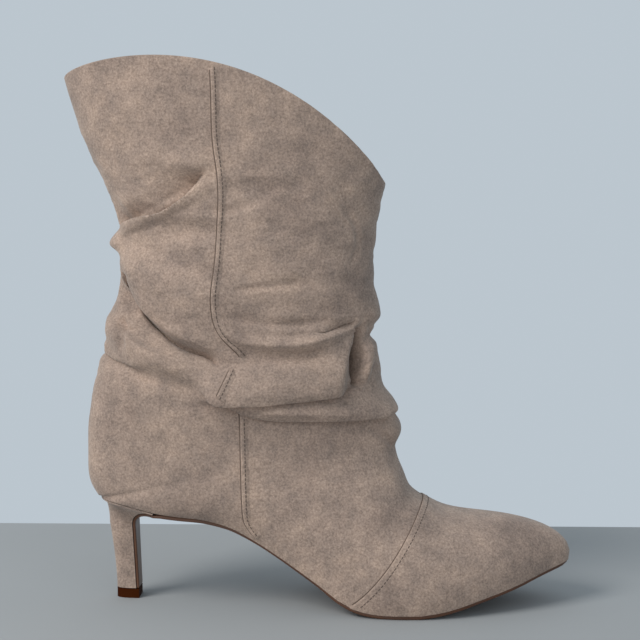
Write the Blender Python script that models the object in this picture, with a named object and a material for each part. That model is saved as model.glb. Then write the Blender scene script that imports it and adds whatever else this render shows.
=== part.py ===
"""Slouch boot on a slim covered heel: hollow upper, insole, outsole with its breast flap, heel and heel tip.

Metres, +Z up, +X towards the toe, -Y the outer side of a right boot.
The origin is on the floor, at the middle of the heel tip.
"""

import math

import bmesh
import bpy
import numpy as np

# Sizes of the last
FOOT_LENGTH = 0.2565  # heel back to toe tip, along the floor
HEEL_SET = 0.0202  # the heel back lies this far behind the middle of the heel tip
BALL_WIDTH = 0.078  # sole edge to sole edge, across the ball
HEEL_HEIGHT = 0.0550  # the seat's back above the ball
TOE_SPRING = 0.0215  # the toe tip's sole edge above the ball
INSTEP_HEIGHT = 0.0977  # the lower boot's front, above the sole edge

# Sizes of the shaft
ANKLE_WIDTH = 0.0640
SHAFT_WIDTH = 0.0720
COLLAR_WIDTH = 0.0680
COLLAR_BACK_HEIGHT = 0.2755
COLLAR_FRONT_HEIGHT = 0.2205
COLLAR_SIDE_RISE = 0.0320  # the top edge is cut this much higher at the sides
ANKLE_TUCK = 0.0192  # the back line draws in this far over the heel
COLLAR_FLARE = 0.0297  # and flares out this far again to the collar
FRONT_TUCK = 0.0110  # the front line draws in this far over the instep
FRONT_FLARE = 0.0070  # and flares out this far again to the collar
SIDE_PEAK = 1.7  # how narrowly the top edge rises at the sides
SIDE_SKEW = 0.2  # the peak lies this share towards the back
FOLD_SIZE = 0.0100

# Sizes of the pieces
WALL = 0.0016  # suede with its lining
CLEARANCE = 0.0004
OUTSOLE_THICKNESS = 0.0020
FLAP_THICKNESS = 0.0014
SOLE_INSET = 0.0008  # the sole stands this far inside the upper's edge
WAIST_INSET = 0.0030  # and this much more at the waist
INSOLE_THICKNESS = 0.0020
INSOLE_GAP = 0.0009  # from the insole's edge to the lining, which leans in above it
INSOLE_START_SHARE = 0.038
INSOLE_END_SHARE = 0.950
SOLE_TOE_X = 0.2345
BREAST_X = 0.0165  # where the sole turns down into the flap
BREAST_EDGE = 0.0008  # the heel's front edge under the sole is this deep

# Sizes of the heel, behind and in front of the origin
TIP_WIDTH = 0.0120
TIP_HEIGHT = 0.0050
TIP_FRONT = 0.0060
HEEL_BACK = 0.0065
HEEL_FRONT = 0.0043
HEEL_RAKE = 0.0036  # the column's back runs this much further back at the throat
HEEL_LEAN = 0.0015  # and its front this much
THROAT_WIDTH = 0.0150  # across the column where it starts to flare
THROAT_SHARE = 0.800  # of the way up from the tip to the seat
SEAT_SETBACK = 0.0060  # from the heel back of the foot to the back of the covered heel
COLUMN_SHARE = 0.550  # of the heel's rings are in its column
COLUMN_ROUND = 0.8  # how square the back of a column's section is; 1 is an ellipse
COLUMN_CORNER = 0.7  # and how square its front corners are
SEAT_ROUND = 0.9

# The toe piece laps over the front panel along a line over the table's rows
SEAM_STEP = 0.0007
TOE_SEAM_ROW = 5.9
TOE_SEAM_SWEEP = 1.20  # rows further back at the sole edge
TOE_SEAM_BEND = 1.4
SEAM_SPREAD_ROWS = 4.5  # rows on each side that follow the line
STEP_ROWS = 0.06
TOE_LINING_ROWS = 0.9  # the lining starts this far behind the toe tip

# Fineness of the mesh
HALF_COLUMNS = 20
HALF_TURN = np.linspace(0, np.pi, 19)  # round the back of the heel, from the outer side to the inner


def table(names, *rows):
    """A table with named columns, as a dict of arrays."""
    return dict(zip(names.split(), np.array(rows, float).T))


# The sole line: height above the ball, as shares of the heel height and of the toe spring
SOLE_LINE = table(
    "along  heel   toe",
    (0.000, 1.020, 0.000),
    (0.020, 1.000, 0.000),
    (0.079, 0.955, 0.000),
    (0.118, 0.909, 0.000),
    (0.157, 0.866, 0.000),
    (0.196, 0.840, 0.000),
    (0.239, 0.818, 0.000),
    (0.270, 0.787, 0.000),
    (0.300, 0.744, 0.000),
    (0.324, 0.691, 0.000),
    (0.352, 0.620, 0.000),
    (0.393, 0.505, 0.000),
    (0.445, 0.349, 0.000),
    (0.484, 0.229, 0.000),
    (0.523, 0.100, 0.000),
    (0.562, 0.030, 0.000),
    (0.601, 0.004, 0.000),
    (0.635, 0.000, 0.000),
    (0.675, 0.000, 0.000),
    (0.720, 0.000, 0.056),
    (0.761, 0.000, 0.158),
    (0.800, 0.000, 0.284),
    (0.878, 0.000, 0.535),
    (0.929, 0.000, 0.735),
    (1.000, 0.000, 0.970),
)

# Sections of the foot from the toe tip to the heel back. Each runs from the sole edge up to the ridge.
# Lengths along are shares of the foot length, the others of the ball width, and ridge heights of the instep height.
FOOT = table(
    "along  outer  inner  sway    ridge  rise   half_out half_in low   top   waist",
    (0.9965, 0.020, 0.020, 0.000, 0.9990, 0.038, 0.021, 0.021, 1.00, 1.00, 0.0),
    (0.9860, 0.085, 0.085, 0.000, 0.9840, 0.110, 0.088, 0.088, 1.00, 0.95, 0.0),
    (0.9500, 0.175, 0.165, 0.000, 0.9440, 0.208, 0.181, 0.171, 1.00, 0.90, 0.0),
    (0.8820, 0.315, 0.272, -0.002, 0.8700, 0.322, 0.326, 0.284, 1.00, 0.90, 0.0),
    (0.7990, 0.440, 0.372, -0.005, 0.7920, 0.400, 0.452, 0.388, 1.00, 0.90, 0.0),
    (0.7200, 0.515, 0.442, -0.008, 0.7330, 0.468, 0.529, 0.460, 1.00, 0.90, 0.0),
    (0.6340, 0.533, 0.447, -0.010, 0.6900, 0.545, 0.550, 0.470, 1.00, 0.90, 0.0),
    (0.5520, 0.497, 0.400, -0.010, 0.6655, 0.601, 0.527, 0.445, 1.00, 0.88, 0.2),
    (0.4590, 0.418, 0.320, -0.008, 0.6540, 0.672, 0.483, 0.427, 0.93, 0.85, 0.8),
    (0.3585, 0.348, 0.264, -0.005, 0.6440, 0.734, 0.448, 0.418, 0.83, 0.82, 1.0),
    (0.2575, 0.326, 0.275, -0.002, 0.6380, 0.785, 0.430, 0.415, 0.71, 0.80, 0.5),
    (0.1650, 0.332, 0.312, -0.001, 0.6345, 0.836, 0.420, 0.415, 0.60, 0.78, 0.1),
    (0.0910, 0.322, 0.318, 0.000, 0.6325, 0.882, 0.414, 0.412, 0.53, 0.76, 0.0),
    (0.0520, 0.268, 0.266, 0.000, 0.6305, 0.923, 0.411, 0.410, 0.50, 0.75, 0.0),
    (0.0300, 0.160, 0.160, 0.000, 0.6295, 0.954, 0.410, 0.410, 0.49, 0.75, 0.0),
    (0.0213, 0.000, 0.000, 0.000, 0.6285, 0.983, 0.410, 0.410, 0.48, 0.75, 0.0),
)

# Sections of the leg above the last one of the foot, as rings from the back line to the front line.
# Rises are shares of the way to the collar; wide goes from the ankle's width to the shaft's, open on to the collar's.
LEG = table(
    "back   tuck   flare  front  draw   out    wide   open   low   top   side",
    (0.042, 0.042, 0.000, 0.017, 0.045, 0.000, 0.050, 0.000, 0.50, 0.76, 0.00),
    (0.104, 0.000, 0.000, 0.042, 0.136, 0.000, 0.150, 0.000, 0.52, 0.77, 0.00),
    (0.173, 0.021, 0.000, 0.083, 0.273, 0.000, 0.300, 0.000, 0.55, 0.78, 0.00),
    (0.242, 0.151, 0.000, 0.133, 0.409, 0.000, 0.500, 0.000, 0.59, 0.79, 0.00),
    (0.310, 0.292, 0.000, 0.199, 0.545, 0.000, 0.750, 0.000, 0.63, 0.80, 0.00),
    (0.379, 0.536, 0.000, 0.274, 0.682, 0.000, 0.950, 0.000, 0.68, 0.81, 0.00),
    (0.452, 0.740, 0.000, 0.357, 0.818, 0.000, 1.000, 0.000, 0.74, 0.82, 0.05),
    (0.526, 0.950, 0.000, 0.456, 0.909, 0.000, 1.000, 0.000, 0.79, 0.83, 0.12),
    (0.608, 1.000, 0.034, 0.564, 0.955, 0.000, 1.000, 0.000, 0.83, 0.84, 0.25),
    (0.700, 1.000, 0.152, 0.689, 1.000, 0.140, 1.000, 0.300, 0.87, 0.86, 0.45),
    (0.837, 1.000, 0.616, 0.830, 1.000, 0.430, 1.000, 0.650, 0.90, 0.88, 0.72),
    (1.000, 1.000, 1.000, 1.000, 1.000, 1.000, 1.000, 1.000, 0.90, 0.90, 1.00),
)

# Folds of the slouched shaft, a row each, from turn a to turn b around the shaft: 0 and 1 are the back, a quarter is
# the outer side, a half the front. Levels go from the heel seat, 0, to the collar's back, 1, and bow bends the line.
# Low and high are how far the fold reaches below and above its line; these, out and up are in parts of FOLD_SIZE.
# A fold that goes out and down hangs over what is below it.
FOLDS = table(
    "turn_a turn_b level_a level_b bow    low  high  out    up    fade",
    (0.000, 0.270, 0.590, 0.460, 0.018, 2.40, 1.10, 0.48, -0.15, 0.35),  # the bulge over the heel
    (-0.075, 0.075, 0.613, 0.613, 0.000, 0.70, 0.80, 0.58, -0.10, 0.50),  # its tip at the back
    (0.020, 0.240, 0.640, 0.768, -0.030, 0.55, 0.55, 0.30, 0.00, 0.40),  # the ridge over the bulge
    (0.100, 0.260, 0.640, 0.628, 0.006, 0.80, 0.80, -0.25, 0.00, 0.40),  # the hollow under that ridge
    (0.035, 0.245, 0.684, 0.792, -0.014, 0.70, 1.10, -0.26, 0.00, 0.40),  # the hollow over it
    (0.025, 0.265, 0.540, 0.316, -0.030, 0.60, 0.60, -0.60, 0.00, 0.25),  # the deep crease behind the low roll
    (-0.015, 0.250, 0.446, 0.250, 0.016, 1.10, 0.75, 0.55, 0.35, 0.38),  # the low roll at the back
    (-0.080, 0.235, 0.372, 0.262, 0.012, 0.45, 0.45, -0.18, 0.00, 0.30),  # the crease under it
    (0.205, 0.410, 0.270, 0.304, -0.004, 0.85, 2.00, 0.72, -0.55, 0.15),  # the hanging roll at the side
    (0.390, 0.475, 0.260, 0.400, 0.000, 1.00, 1.00, 0.35, 0.00, 0.40),  # its end, turned up at the front
    (0.365, 0.440, 0.255, 0.410, 0.000, 1.20, 1.20, -0.65, 0.00, 0.35),  # the deep hollow behind that end
    (0.232, 0.640, 0.236, 0.236, -0.016, 0.65, 0.95, 0.50, -0.22, 0.16),  # the low band round the front
    (0.400, 0.600, 0.163, 0.163, 0.000, 1.10, 1.10, 0.45, 0.00, 0.40),  # the bulge of the instep
    (0.400, 0.600, 0.445, 0.445, 0.000, 0.80, 1.60, 0.35, -0.10, 0.40),  # the bulge of the shin
    (0.420, 0.580, 0.386, 0.386, 0.000, 0.50, 0.45, -0.30, 0.00, 0.40),  # the notch under it
    (0.350, 0.420, 0.405, 0.432, 0.000, 0.40, 0.40, -0.25, 0.00, 0.40),  # a short crease over the deep hollow
    (0.220, 0.415, 0.410, 0.430, -0.042, 0.50, 0.50, 0.26, 0.00, 0.35),  # a soft ridge over the hanging roll
    (0.222, 0.385, 0.348, 0.360, 0.000, 0.40, 0.40, -0.20, 0.00, 0.35),  # the hollow between the two
    (0.230, 0.385, 0.446, 0.430, -0.010, 0.40, 0.40, -0.12, 0.00, 0.35),  # a faint crease over the ridge
    (0.200, 0.370, 0.715, 0.715, 0.030, 0.60, 0.60, -0.12, 0.00, 0.40),  # a faint crease under the collar
    (0.560, 0.970, 0.255, 0.360, 0.000, 0.80, 1.60, 0.60, -0.50, 0.20),  # the hanging roll of the inner side
    (0.600, 0.985, 0.540, 0.600, -0.03, 2.00, 1.20, 0.40, -0.10, 0.30),  # the bulge over it
    (0.560, 0.960, 0.420, 0.470, 0.000, 0.90, 0.90, -0.40, 0.00, 0.30),  # and the crease between them
)
LAST_FOOT_ROW = len(FOOT["along"]) - 1
LAST_ROW = LAST_FOOT_ROW + len(LEG["back"])
SOLE_LEVEL = OUTSOLE_THICKNESS + CLEARANCE  # the upper's edge above the floor at the ball


def smooth_curve(values, at):
    """A natural cubic spline through evenly numbered values, read at fractional numbers."""
    values = np.asarray(values, float)
    count = len(values)
    bend = np.zeros(count)
    system = 4 * np.eye(count - 2) + np.eye(count - 2, k=1) + np.eye(count - 2, k=-1)
    bend[1:-1] = np.linalg.solve(system, 6 * np.diff(values, 2))
    start = np.clip(np.floor(at).astype(int), 0, count - 2)
    after = at - start
    before = 1 - after
    straight = before * values[start] + after * values[start + 1]
    return straight + ((before**3 - before) * bend[start] + (after**3 - after) * bend[start + 1]) / 6


def steady_curve(places, values, at):
    """A smooth curve that never overshoots its values, and is flat where they are."""
    step = np.diff(places)
    slope = np.diff(values) / step
    tangent = np.concatenate([slope[:1], np.zeros(len(slope) - 1), slope[-1:]])
    same_way = slope[:-1] * slope[1:] > 0
    low, high = slope[:-1][same_way], slope[1:][same_way]
    tangent[1:-1][same_way] = 2 * low * high / (low + high)
    start = np.clip(np.searchsorted(places, at, side="right") - 1, 0, len(step) - 1)
    share = np.clip((at - places[start]) / step[start], 0, 1)
    rise = share**2 * (3 - 2 * share)
    begin = share * (1 - share) ** 2 * step[start]
    end = -(share**2) * (1 - share) * step[start]
    return values[start] + rise * (values[start + 1] - values[start]) + begin * tangent[start] + end * tangent[start + 1]


def along_to_x(along):
    return along * FOOT_LENGTH - HEEL_SET


def sole_height(x):
    """Height of the upper's lower edge above the floor."""
    along = (np.asarray(x, float) + HEEL_SET) / FOOT_LENGTH
    heel = steady_curve(SOLE_LINE["along"], SOLE_LINE["heel"], along)
    toe = steady_curve(SOLE_LINE["along"], SOLE_LINE["toe"], along)
    return SOLE_LEVEL + heel * HEEL_HEIGHT + toe * TOE_SPRING


def blend(low, high, share):
    return low + (high - low) * share


def leg_rows():
    """The leg's sections in metres: back line, front line and half width."""
    back_x = -HEEL_SET + LEG["tuck"] * ANKLE_TUCK - LEG["flare"] * COLLAR_FLARE
    back_z = blend(SOLE_LEVEL + HEEL_HEIGHT, COLLAR_BACK_HEIGHT, LEG["back"])
    front_x = along_to_x(FOOT["ridge"][-1]) - LEG["draw"] * FRONT_TUCK + LEG["out"] * FRONT_FLARE
    instep = SOLE_LEVEL + INSTEP_HEIGHT
    front_z = blend(instep, COLLAR_FRONT_HEIGHT, LEG["front"])
    half = blend(ANKLE_WIDTH, SHAFT_WIDTH, LEG["wide"]) / 2
    half = blend(half, COLLAR_WIDTH / 2, LEG["open"])
    return back_x, back_z, front_x, front_z, half


def section_values(row):
    """What defines the section at each fractional row number, in metres."""
    back_x, back_z, front_x, front_z, half = leg_rows()
    foot_ridge_x = along_to_x(FOOT["ridge"])
    foot_ridge_z = sole_height(foot_ridge_x) + FOOT["rise"] * INSTEP_HEIGHT
    none = np.zeros(len(half))
    joined = {
        "ridge_x": (foot_ridge_x, front_x),
        "ridge_z": (foot_ridge_z, front_z),
        "half_outer": (FOOT["half_out"] * BALL_WIDTH, half),
        "half_inner": (FOOT["half_in"] * BALL_WIDTH, half),
        "sway": (FOOT["sway"] * BALL_WIDTH, none),
        "low": (FOOT["low"], LEG["low"]),
        "top": (FOOT["top"], LEG["top"]),
        "side": (0 * FOOT["sway"], LEG["side"] * COLLAR_SIDE_RISE),
    }
    values = {name: smooth_curve(np.concatenate(parts), row) for name, parts in joined.items()}
    in_foot = np.minimum(row, LAST_FOOT_ROW)
    in_leg = np.maximum(row - LAST_FOOT_ROW, 0)
    heel_x = along_to_x(FOOT["along"][-1])
    foot_x = along_to_x(smooth_curve(FOOT["along"], in_foot))
    leg_x = smooth_curve(np.concatenate([[heel_x], back_x]), in_leg)
    leg_z = smooth_curve(np.concatenate([[sole_height(heel_x)], back_z]), in_leg)
    is_foot = row < LAST_FOOT_ROW
    values["under_x"] = np.where(is_foot, foot_x, leg_x)
    values["under_z"] = np.where(is_foot, sole_height(foot_x), leg_z)
    for side in ("outer", "inner"):
        width = np.maximum(smooth_curve(FOOT[side], in_foot), 0) * BALL_WIDTH
        values["foot_" + side] = np.where(is_foot, width, 0.0)
    return values


def base_point(row, across):
    """The upper's outer face before it slouches, and how far round the shaft each point is.

    Across is -1 at the outer sole edge or the back line, 0 on the ridge and 1 at the inner sole edge.
    """
    row, across = np.broadcast_arrays(np.asarray(row, float), np.asarray(across, float))
    v = section_values(row)
    outer = across < 0
    half = np.where(outer, v["half_outer"], v["half_inner"])
    foot = np.where(outer, v["foot_outer"], v["foot_inner"])
    start = np.arcsin(np.clip(foot / half, 0, 1) ** (1 / v["low"]))
    angle = blend(np.pi, start, np.abs(across))
    share = (np.cos(start) - np.cos(angle)) / (1 + np.cos(start))
    sine = np.clip(np.sin(angle), 0, 1)
    reach = half * sine ** blend(v["low"], v["top"], share)
    x = blend(v["under_x"], v["ridge_x"], share)
    y = v["sway"] + np.where(outer, -reach, reach)
    z = blend(v["under_z"], v["ridge_z"], share)
    z = z + v["side"] * sine**SIDE_PEAK * (1 - SIDE_SKEW * np.cos(angle))
    turn = np.where(outer, angle, 2 * np.pi - angle) / (2 * np.pi)
    return np.stack([x, y, z], -1), turn


def ease(share):
    share = np.clip(share, 0, 1)
    return share**2 * (3 - 2 * share)


def fold_shift(turn, height):
    """How far the folds push the upper out and up."""
    seat = SOLE_LEVEL + HEEL_HEIGHT
    span = COLLAR_BACK_HEIGHT - seat
    out = np.zeros_like(turn)
    up = np.zeros_like(turn)
    for fold in zip(*FOLDS.values()):
        turn_a, turn_b, level_a, level_b, bow, low, high, fold_out, fold_up, fade = fold
        for around in (turn, turn - 1):
            share = (around - turn_a) / (turn_b - turn_a)
            line = blend(level_a, level_b, share) + 4 * bow * share * (1 - share)
            off = height - seat - line * span
            reach = np.where(off > 0, high, low) * FOLD_SIZE
            hump = np.clip(1 - (off / reach) ** 2, 0, 1) ** 2
            hump = hump * ease(share / fade) * ease((1 - share) / fade)
            out = out + fold_out * FOLD_SIZE * hump
            up = up + fold_up * FOLD_SIZE * hump
    return out, up


def toe_seam_row(across):
    """The row that the toe piece's edge follows."""
    return TOE_SEAM_ROW + TOE_SEAM_SWEEP * np.abs(across) ** TOE_SEAM_BEND


def upper_point(row, across):
    """The upper's outer face, with its folds and the step at the toe piece's edge."""
    point, turn = base_point(row, across)
    normal = face_normals(lambda r, a: base_point(r, a)[0], row, across)
    level = normal * [1, 1, 0]
    level = level / np.maximum(np.linalg.norm(level, axis=-1, keepdims=True), 1e-9)
    out, up = fold_shift(turn, point[..., 2])
    point = point + out[..., None] * level
    point[..., 2] += up
    step = SEAM_STEP * ease((toe_seam_row(across) - row) / STEP_ROWS + 0.5) * ease(row / 0.8)
    return point + step[..., None] * normal


def face_normals(surface, row, across):
    """Unit normals of a surface over rows and across, pointing out of the boot."""
    step_row, step_across = 0.03, 0.006
    before, after = np.clip(row - step_row, 0, LAST_ROW), np.clip(row + step_row, 0, LAST_ROW)
    along = surface(after, across) - surface(before, across)
    left, right = np.clip(across - step_across, -1, 1), np.clip(across + step_across, -1, 1)
    around = surface(row, right) - surface(row, left)
    normal = np.cross(around, along)
    return normal / np.maximum(np.linalg.norm(normal, axis=-1, keepdims=True), 1e-12)


def sole_edge(x, side, inset, waist_inset=0.0):
    """Distance of the upper's lower edge from the middle line at x, less an inset square to the edge."""
    row = np.linspace(0, LAST_FOOT_ROW, 400)
    values = section_values(row)
    sign = -1 if side == "outer" else 1
    edge_x = values["under_x"]
    edge_y = values["sway"] + sign * values["foot_" + side]
    along = np.stack([np.gradient(edge_x), np.gradient(edge_y)], -1)
    along = along / np.linalg.norm(along, axis=-1, keepdims=True)
    inward = np.stack([along[:, 1], -along[:, 0]], -1) * -sign
    waist = np.interp(edge_x, along_to_x(FOOT["along"])[::-1], FOOT["waist"][::-1])
    moved = np.stack([edge_x, edge_y], -1) + inward * (inset + waist_inset * waist)[:, None]
    return np.interp(x, moved[::-1, 0], moved[::-1, 1])


# Meshes


def make_object(name, points, faces, material):
    mesh = bpy.data.meshes.new(name)
    mesh.from_pydata([tuple(p) for p in points], [], faces)
    work = bmesh.new()
    work.from_mesh(mesh)
    bmesh.ops.remove_doubles(work, verts=work.verts, dist=1e-7)
    bmesh.ops.triangulate(work, faces=work.faces, quad_method="BEAUTY", ngon_method="BEAUTY")
    bmesh.ops.recalc_face_normals(work, faces=work.faces)
    work.to_mesh(mesh)
    work.free()
    mesh.materials.append(material)
    mesh.shade_smooth()
    mesh.set_sharp_from_angle(angle=math.radians(40))
    piece = bpy.data.objects.new(name, mesh)
    bpy.context.scene.collection.objects.link(piece)
    return piece


def make_material(name, colour, roughness):
    material = bpy.data.materials.new(name)
    material.use_nodes = True
    shader = material.node_tree.nodes["Principled BSDF"]
    shader.inputs["Base Color"].default_value = (*colour, 1)
    shader.inputs["Roughness"].default_value = roughness
    shader.inputs["Metallic"].default_value = 0
    return material


def upper_rows():
    """Rows of the upper's mesh: close where the folds are, with a pair at the toe piece's edge."""
    parts = [
        np.linspace(0, TOE_SEAM_ROW - STEP_ROWS / 2, 8, endpoint=False),
        np.linspace(TOE_SEAM_ROW - STEP_ROWS / 2, TOE_SEAM_ROW + STEP_ROWS / 2, 2),
        np.linspace(TOE_SEAM_ROW + STEP_ROWS / 2, LAST_FOOT_ROW, 12)[1:],
        np.linspace(LAST_FOOT_ROW, LAST_FOOT_ROW + 2, 5)[1:],
        np.linspace(LAST_FOOT_ROW + 2, LAST_FOOT_ROW + 7, 23)[1:],
        np.linspace(LAST_FOOT_ROW + 7, LAST_FOOT_ROW + 10, 13)[1:],
        np.linspace(LAST_FOOT_ROW + 10, LAST_ROW, 6)[1:],
    ]
    return np.concatenate(parts)


def make_upper(material):
    """One hollow wall, open at the collar and underneath."""
    rows = upper_rows()
    columns = np.linspace(-1, 1, 2 * HALF_COLUMNS + 1)
    row, across = np.meshgrid(rows, columns, indexing="ij")
    near_seam = ease(1 - np.abs(row - TOE_SEAM_ROW) / SEAM_SPREAD_ROWS)
    row = row + (toe_seam_row(across) - TOE_SEAM_ROW) * near_seam
    face = upper_point(row, across)
    behind_toe = row + TOE_LINING_ROWS * np.clip(1 - row / 2, 0, 1) ** 2
    lining = upper_point(behind_toe, across) - WALL * face_normals(upper_point, behind_toe, across)
    in_foot = rows < LAST_FOOT_ROW - 1e-6
    for edge in (0, -1):
        lining[in_foot, edge, 2] = sole_height(lining[in_foot, edge, 0])
    count = len(columns)
    numbers = np.arange(row.size).reshape(row.shape)
    numbers[~in_foot, -1] = numbers[~in_foot, 0]
    inner = numbers + numbers.size
    points = np.concatenate([face.reshape(-1, 3), lining.reshape(-1, 3)])
    faces = []
    for i in range(len(rows) - 1):
        for j in range(count - 1):
            for sheet in (numbers, inner):
                faces.append([sheet[i, j], sheet[i, j + 1], sheet[i + 1, j + 1], sheet[i + 1, j]])
        for j in (0, -1):
            if in_foot[i]:
                faces.append([numbers[i, j], numbers[i + 1, j], inner[i + 1, j], inner[i, j]])
    for j in range(count - 1):
        faces.append([numbers[-1, j], numbers[-1, j + 1], inner[-1, j + 1], inner[-1, j]])
    for j in range(HALF_COLUMNS):
        for sheet in (numbers, inner):
            faces.append([sheet[0, j], sheet[0, j + 1], sheet[0, count - 2 - j], sheet[0, count - 1 - j]])
    faces.append([numbers[0, 0], numbers[0, -1], inner[0, -1], inner[0, 0]])
    return make_object("upper", points, tidy_faces(faces), material)


def tidy_faces(faces):
    """Faces without repeated corners."""
    short = [tuple(int(corner) for corner in dict.fromkeys(face)) for face in faces]
    return [face for face in short if len(face) > 2]


def skin(rings):
    """Points and faces of a solid through closed rings of equal length."""
    rings = np.asarray(rings)
    count = rings.shape[1]
    numbers = np.arange(rings.shape[0] * count).reshape(rings.shape[:2])
    faces = []
    for i in range(len(rings) - 1):
        for j in range(count):
            k = (j + 1) % count
            faces.append([numbers[i, j], numbers[i, k], numbers[i + 1, k], numbers[i + 1, j]])
    for end in (numbers[0], numbers[-1]):
        for j in range((count - 1) // 2):
            k = count - 1 - j
            faces.append([end[j], end[j + 1], end[k - 1], end[k]])
    return rings.reshape(-1, 3), tidy_faces(faces)


def sole_stations(start, end):
    """Places along the sole, shared by the boards so that their faces stay parallel."""
    x = along_to_x(np.linspace(0, 1, 37))
    return np.concatenate([[start], x[(x > start + OUTSOLE_THICKNESS) & (x < end - OUTSOLE_THICKNESS)], [end]])


def make_insole(material):
    """A board under the foot, level across its width, its length following the sole line."""
    rings = []
    stations = sole_stations(along_to_x(INSOLE_START_SHARE), along_to_x(INSOLE_END_SHARE))
    outer = sole_edge(stations, "outer", WALL + INSOLE_GAP)
    inner = sole_edge(stations, "inner", WALL + INSOLE_GAP)
    under = sole_height(stations)
    for x, low_y, high_y, z in zip(stations, outer, inner, under):
        y = np.linspace(low_y, high_y, 5)
        top = [(x, across, z + INSOLE_THICKNESS) for across in y]
        rings.append(top + [(x, across, z) for across in y[::-1]])
    points, faces = skin(rings)
    return make_object("insole", points, faces, material)


def breast_path(share):
    """The heel's front face from the side, from the tip, 0, to the sole, 1, and how far each place has flared."""
    column = np.clip(share / COLUMN_SHARE, 0, 1)
    flare = np.clip((share - COLUMN_SHARE) / (1 - COLUMN_SHARE), 0, 1) * np.pi / 2
    wide, tall = 1 - np.cos(flare), np.sin(flare)
    tip = TIP_HEIGHT + CLEARANCE
    seat = sole_height(BREAST_X) - CLEARANCE - BREAST_EDGE
    throat = blend(tip, seat, THROAT_SHARE)
    column_x = blend(HEEL_FRONT, HEEL_FRONT - HEEL_LEAN, column)
    x = blend(column_x, BREAST_X, wide)
    z = blend(blend(tip, throat, column), seat, tall)
    return x, z, wide, tall


def column_half_width(share):
    return blend(TIP_WIDTH, THROAT_WIDTH, np.clip(share / COLUMN_SHARE, 0, 1) ** 1.5) / 2


def column_section(front_x, back_x, half_width):
    """A section of the heel's column: flat in front, round behind."""
    x = front_x - (front_x - back_x) * np.sin(HALF_TURN) ** COLUMN_ROUND
    y = -half_width * np.sign(np.cos(HALF_TURN)) * np.abs(np.cos(HALF_TURN)) ** COLUMN_CORNER
    return x, y


def make_heel(material):
    """The covered heel, a slim column that flares out to the seat."""
    seat_x = BREAST_X - (BREAST_X + HEEL_SET - SEAT_SETBACK) * np.sin(HALF_TURN) ** SEAT_ROUND
    outer, inner = sole_edge(seat_x, "outer", CLEARANCE), sole_edge(seat_x, "inner", CLEARANCE)
    seat_y = np.where(HALF_TURN < np.pi / 2, outer, inner)
    seat_y[len(HALF_TURN) // 2] = 0
    seat_z = sole_height(seat_x) - CLEARANCE
    rings = []
    for share in [*np.linspace(0, COLUMN_SHARE, 7), *np.linspace(COLUMN_SHARE, 1, 10)[1:]]:
        column = min(share / COLUMN_SHARE, 1)
        front_x = blend(HEEL_FRONT, HEEL_FRONT - HEEL_LEAN, column)
        back_x = blend(-HEEL_BACK, -HEEL_BACK - HEEL_RAKE, column**1.6)
        x, y = column_section(front_x, back_x, column_half_width(share))
        throat_z = breast_path(min(share, COLUMN_SHARE))[1]
        wide, tall = breast_path(share)[2:]
        z = blend(throat_z, seat_z - BREAST_EDGE, tall)
        rings.append(np.stack([blend(x, seat_x, wide), blend(y, seat_y, wide), z], -1))
    rings.append(np.stack([seat_x, seat_y, seat_z], -1))
    points, faces = skin(rings)
    return make_object("heel", points, faces, material)


def make_outsole(material):
    """The sole with its flap down the front of the heel."""
    stations = sole_stations(BREAST_X + 2 * OUTSOLE_THICKNESS, SOLE_TOE_X)[::-1]
    outer = sole_edge(stations, "outer", SOLE_INSET, WAIST_INSET)
    inner = sole_edge(stations, "inner", SOLE_INSET, WAIST_INSET)
    rings = []
    for x, low_y, high_y, z in zip(stations, outer, inner, sole_height(stations) - CLEARANCE):
        y = np.linspace(low_y, high_y, 5)
        rings.append([(x, across, z) for across in y] + [(x, across, z - OUTSOLE_THICKNESS) for across in y[::-1]])
    shares = np.linspace(1, 0, 16)
    flap_x, flap_z, wide, _ = breast_path(shares)
    slope = np.stack([np.gradient(flap_x), np.gradient(flap_z)], -1)
    slope = slope / np.linalg.norm(slope, axis=-1, keepdims=True)
    forward = np.stack([-slope[:, 1], slope[:, 0]], -1)
    back = np.stack([flap_x, flap_z], -1) + forward * CLEARANCE
    front = back + forward * FLAP_THICKNESS
    slim = column_half_width(shares)
    low = blend(-slim, sole_edge(BREAST_X, "outer", SOLE_INSET, WAIST_INSET), wide)
    high = blend(slim, sole_edge(BREAST_X, "inner", SOLE_INSET, WAIST_INSET), wide)
    for behind, ahead, low_y, high_y in zip(back, front, low, high):
        y = np.linspace(low_y, high_y, 5)
        ring = [(behind[0], across, behind[1]) for across in y]
        rings.append(ring + [(ahead[0], across, ahead[1]) for across in y[::-1]])
    points, faces = skin(rings)
    return make_object("outsole", points, faces, material)


def make_top_lift(material):
    """The heel tip, which stands on the floor."""
    x, y = column_section(TIP_FRONT, -HEEL_BACK, TIP_WIDTH / 2)
    rings = [np.stack([x, y, np.full(len(x), height)], -1) for height in (0, TIP_HEIGHT)]
    points, faces = skin(rings)
    return make_object("top_lift", points, faces, material)


def main():
    for old in list(bpy.data.objects):
        bpy.data.objects.remove(old)
    suede = make_material("suede", (0.42, 0.33, 0.27), 0.95)
    leather = make_material("brown leather", (0.14, 0.05, 0.02), 0.5)
    lining = make_material("lining leather", (0.55, 0.45, 0.33), 0.7)
    make_upper(suede)
    make_insole(lining)
    make_outsole(leather)
    make_heel(suede)
    make_top_lift(leather)


main()
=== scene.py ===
"""How the slouch boot looks: fine suede surfaces, seams, stitches and materials over the fixed model."""

import math

import bmesh
import bpy
import numpy as np
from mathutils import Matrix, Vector, noise
from mathutils.bvhtree import BVHTree


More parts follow.
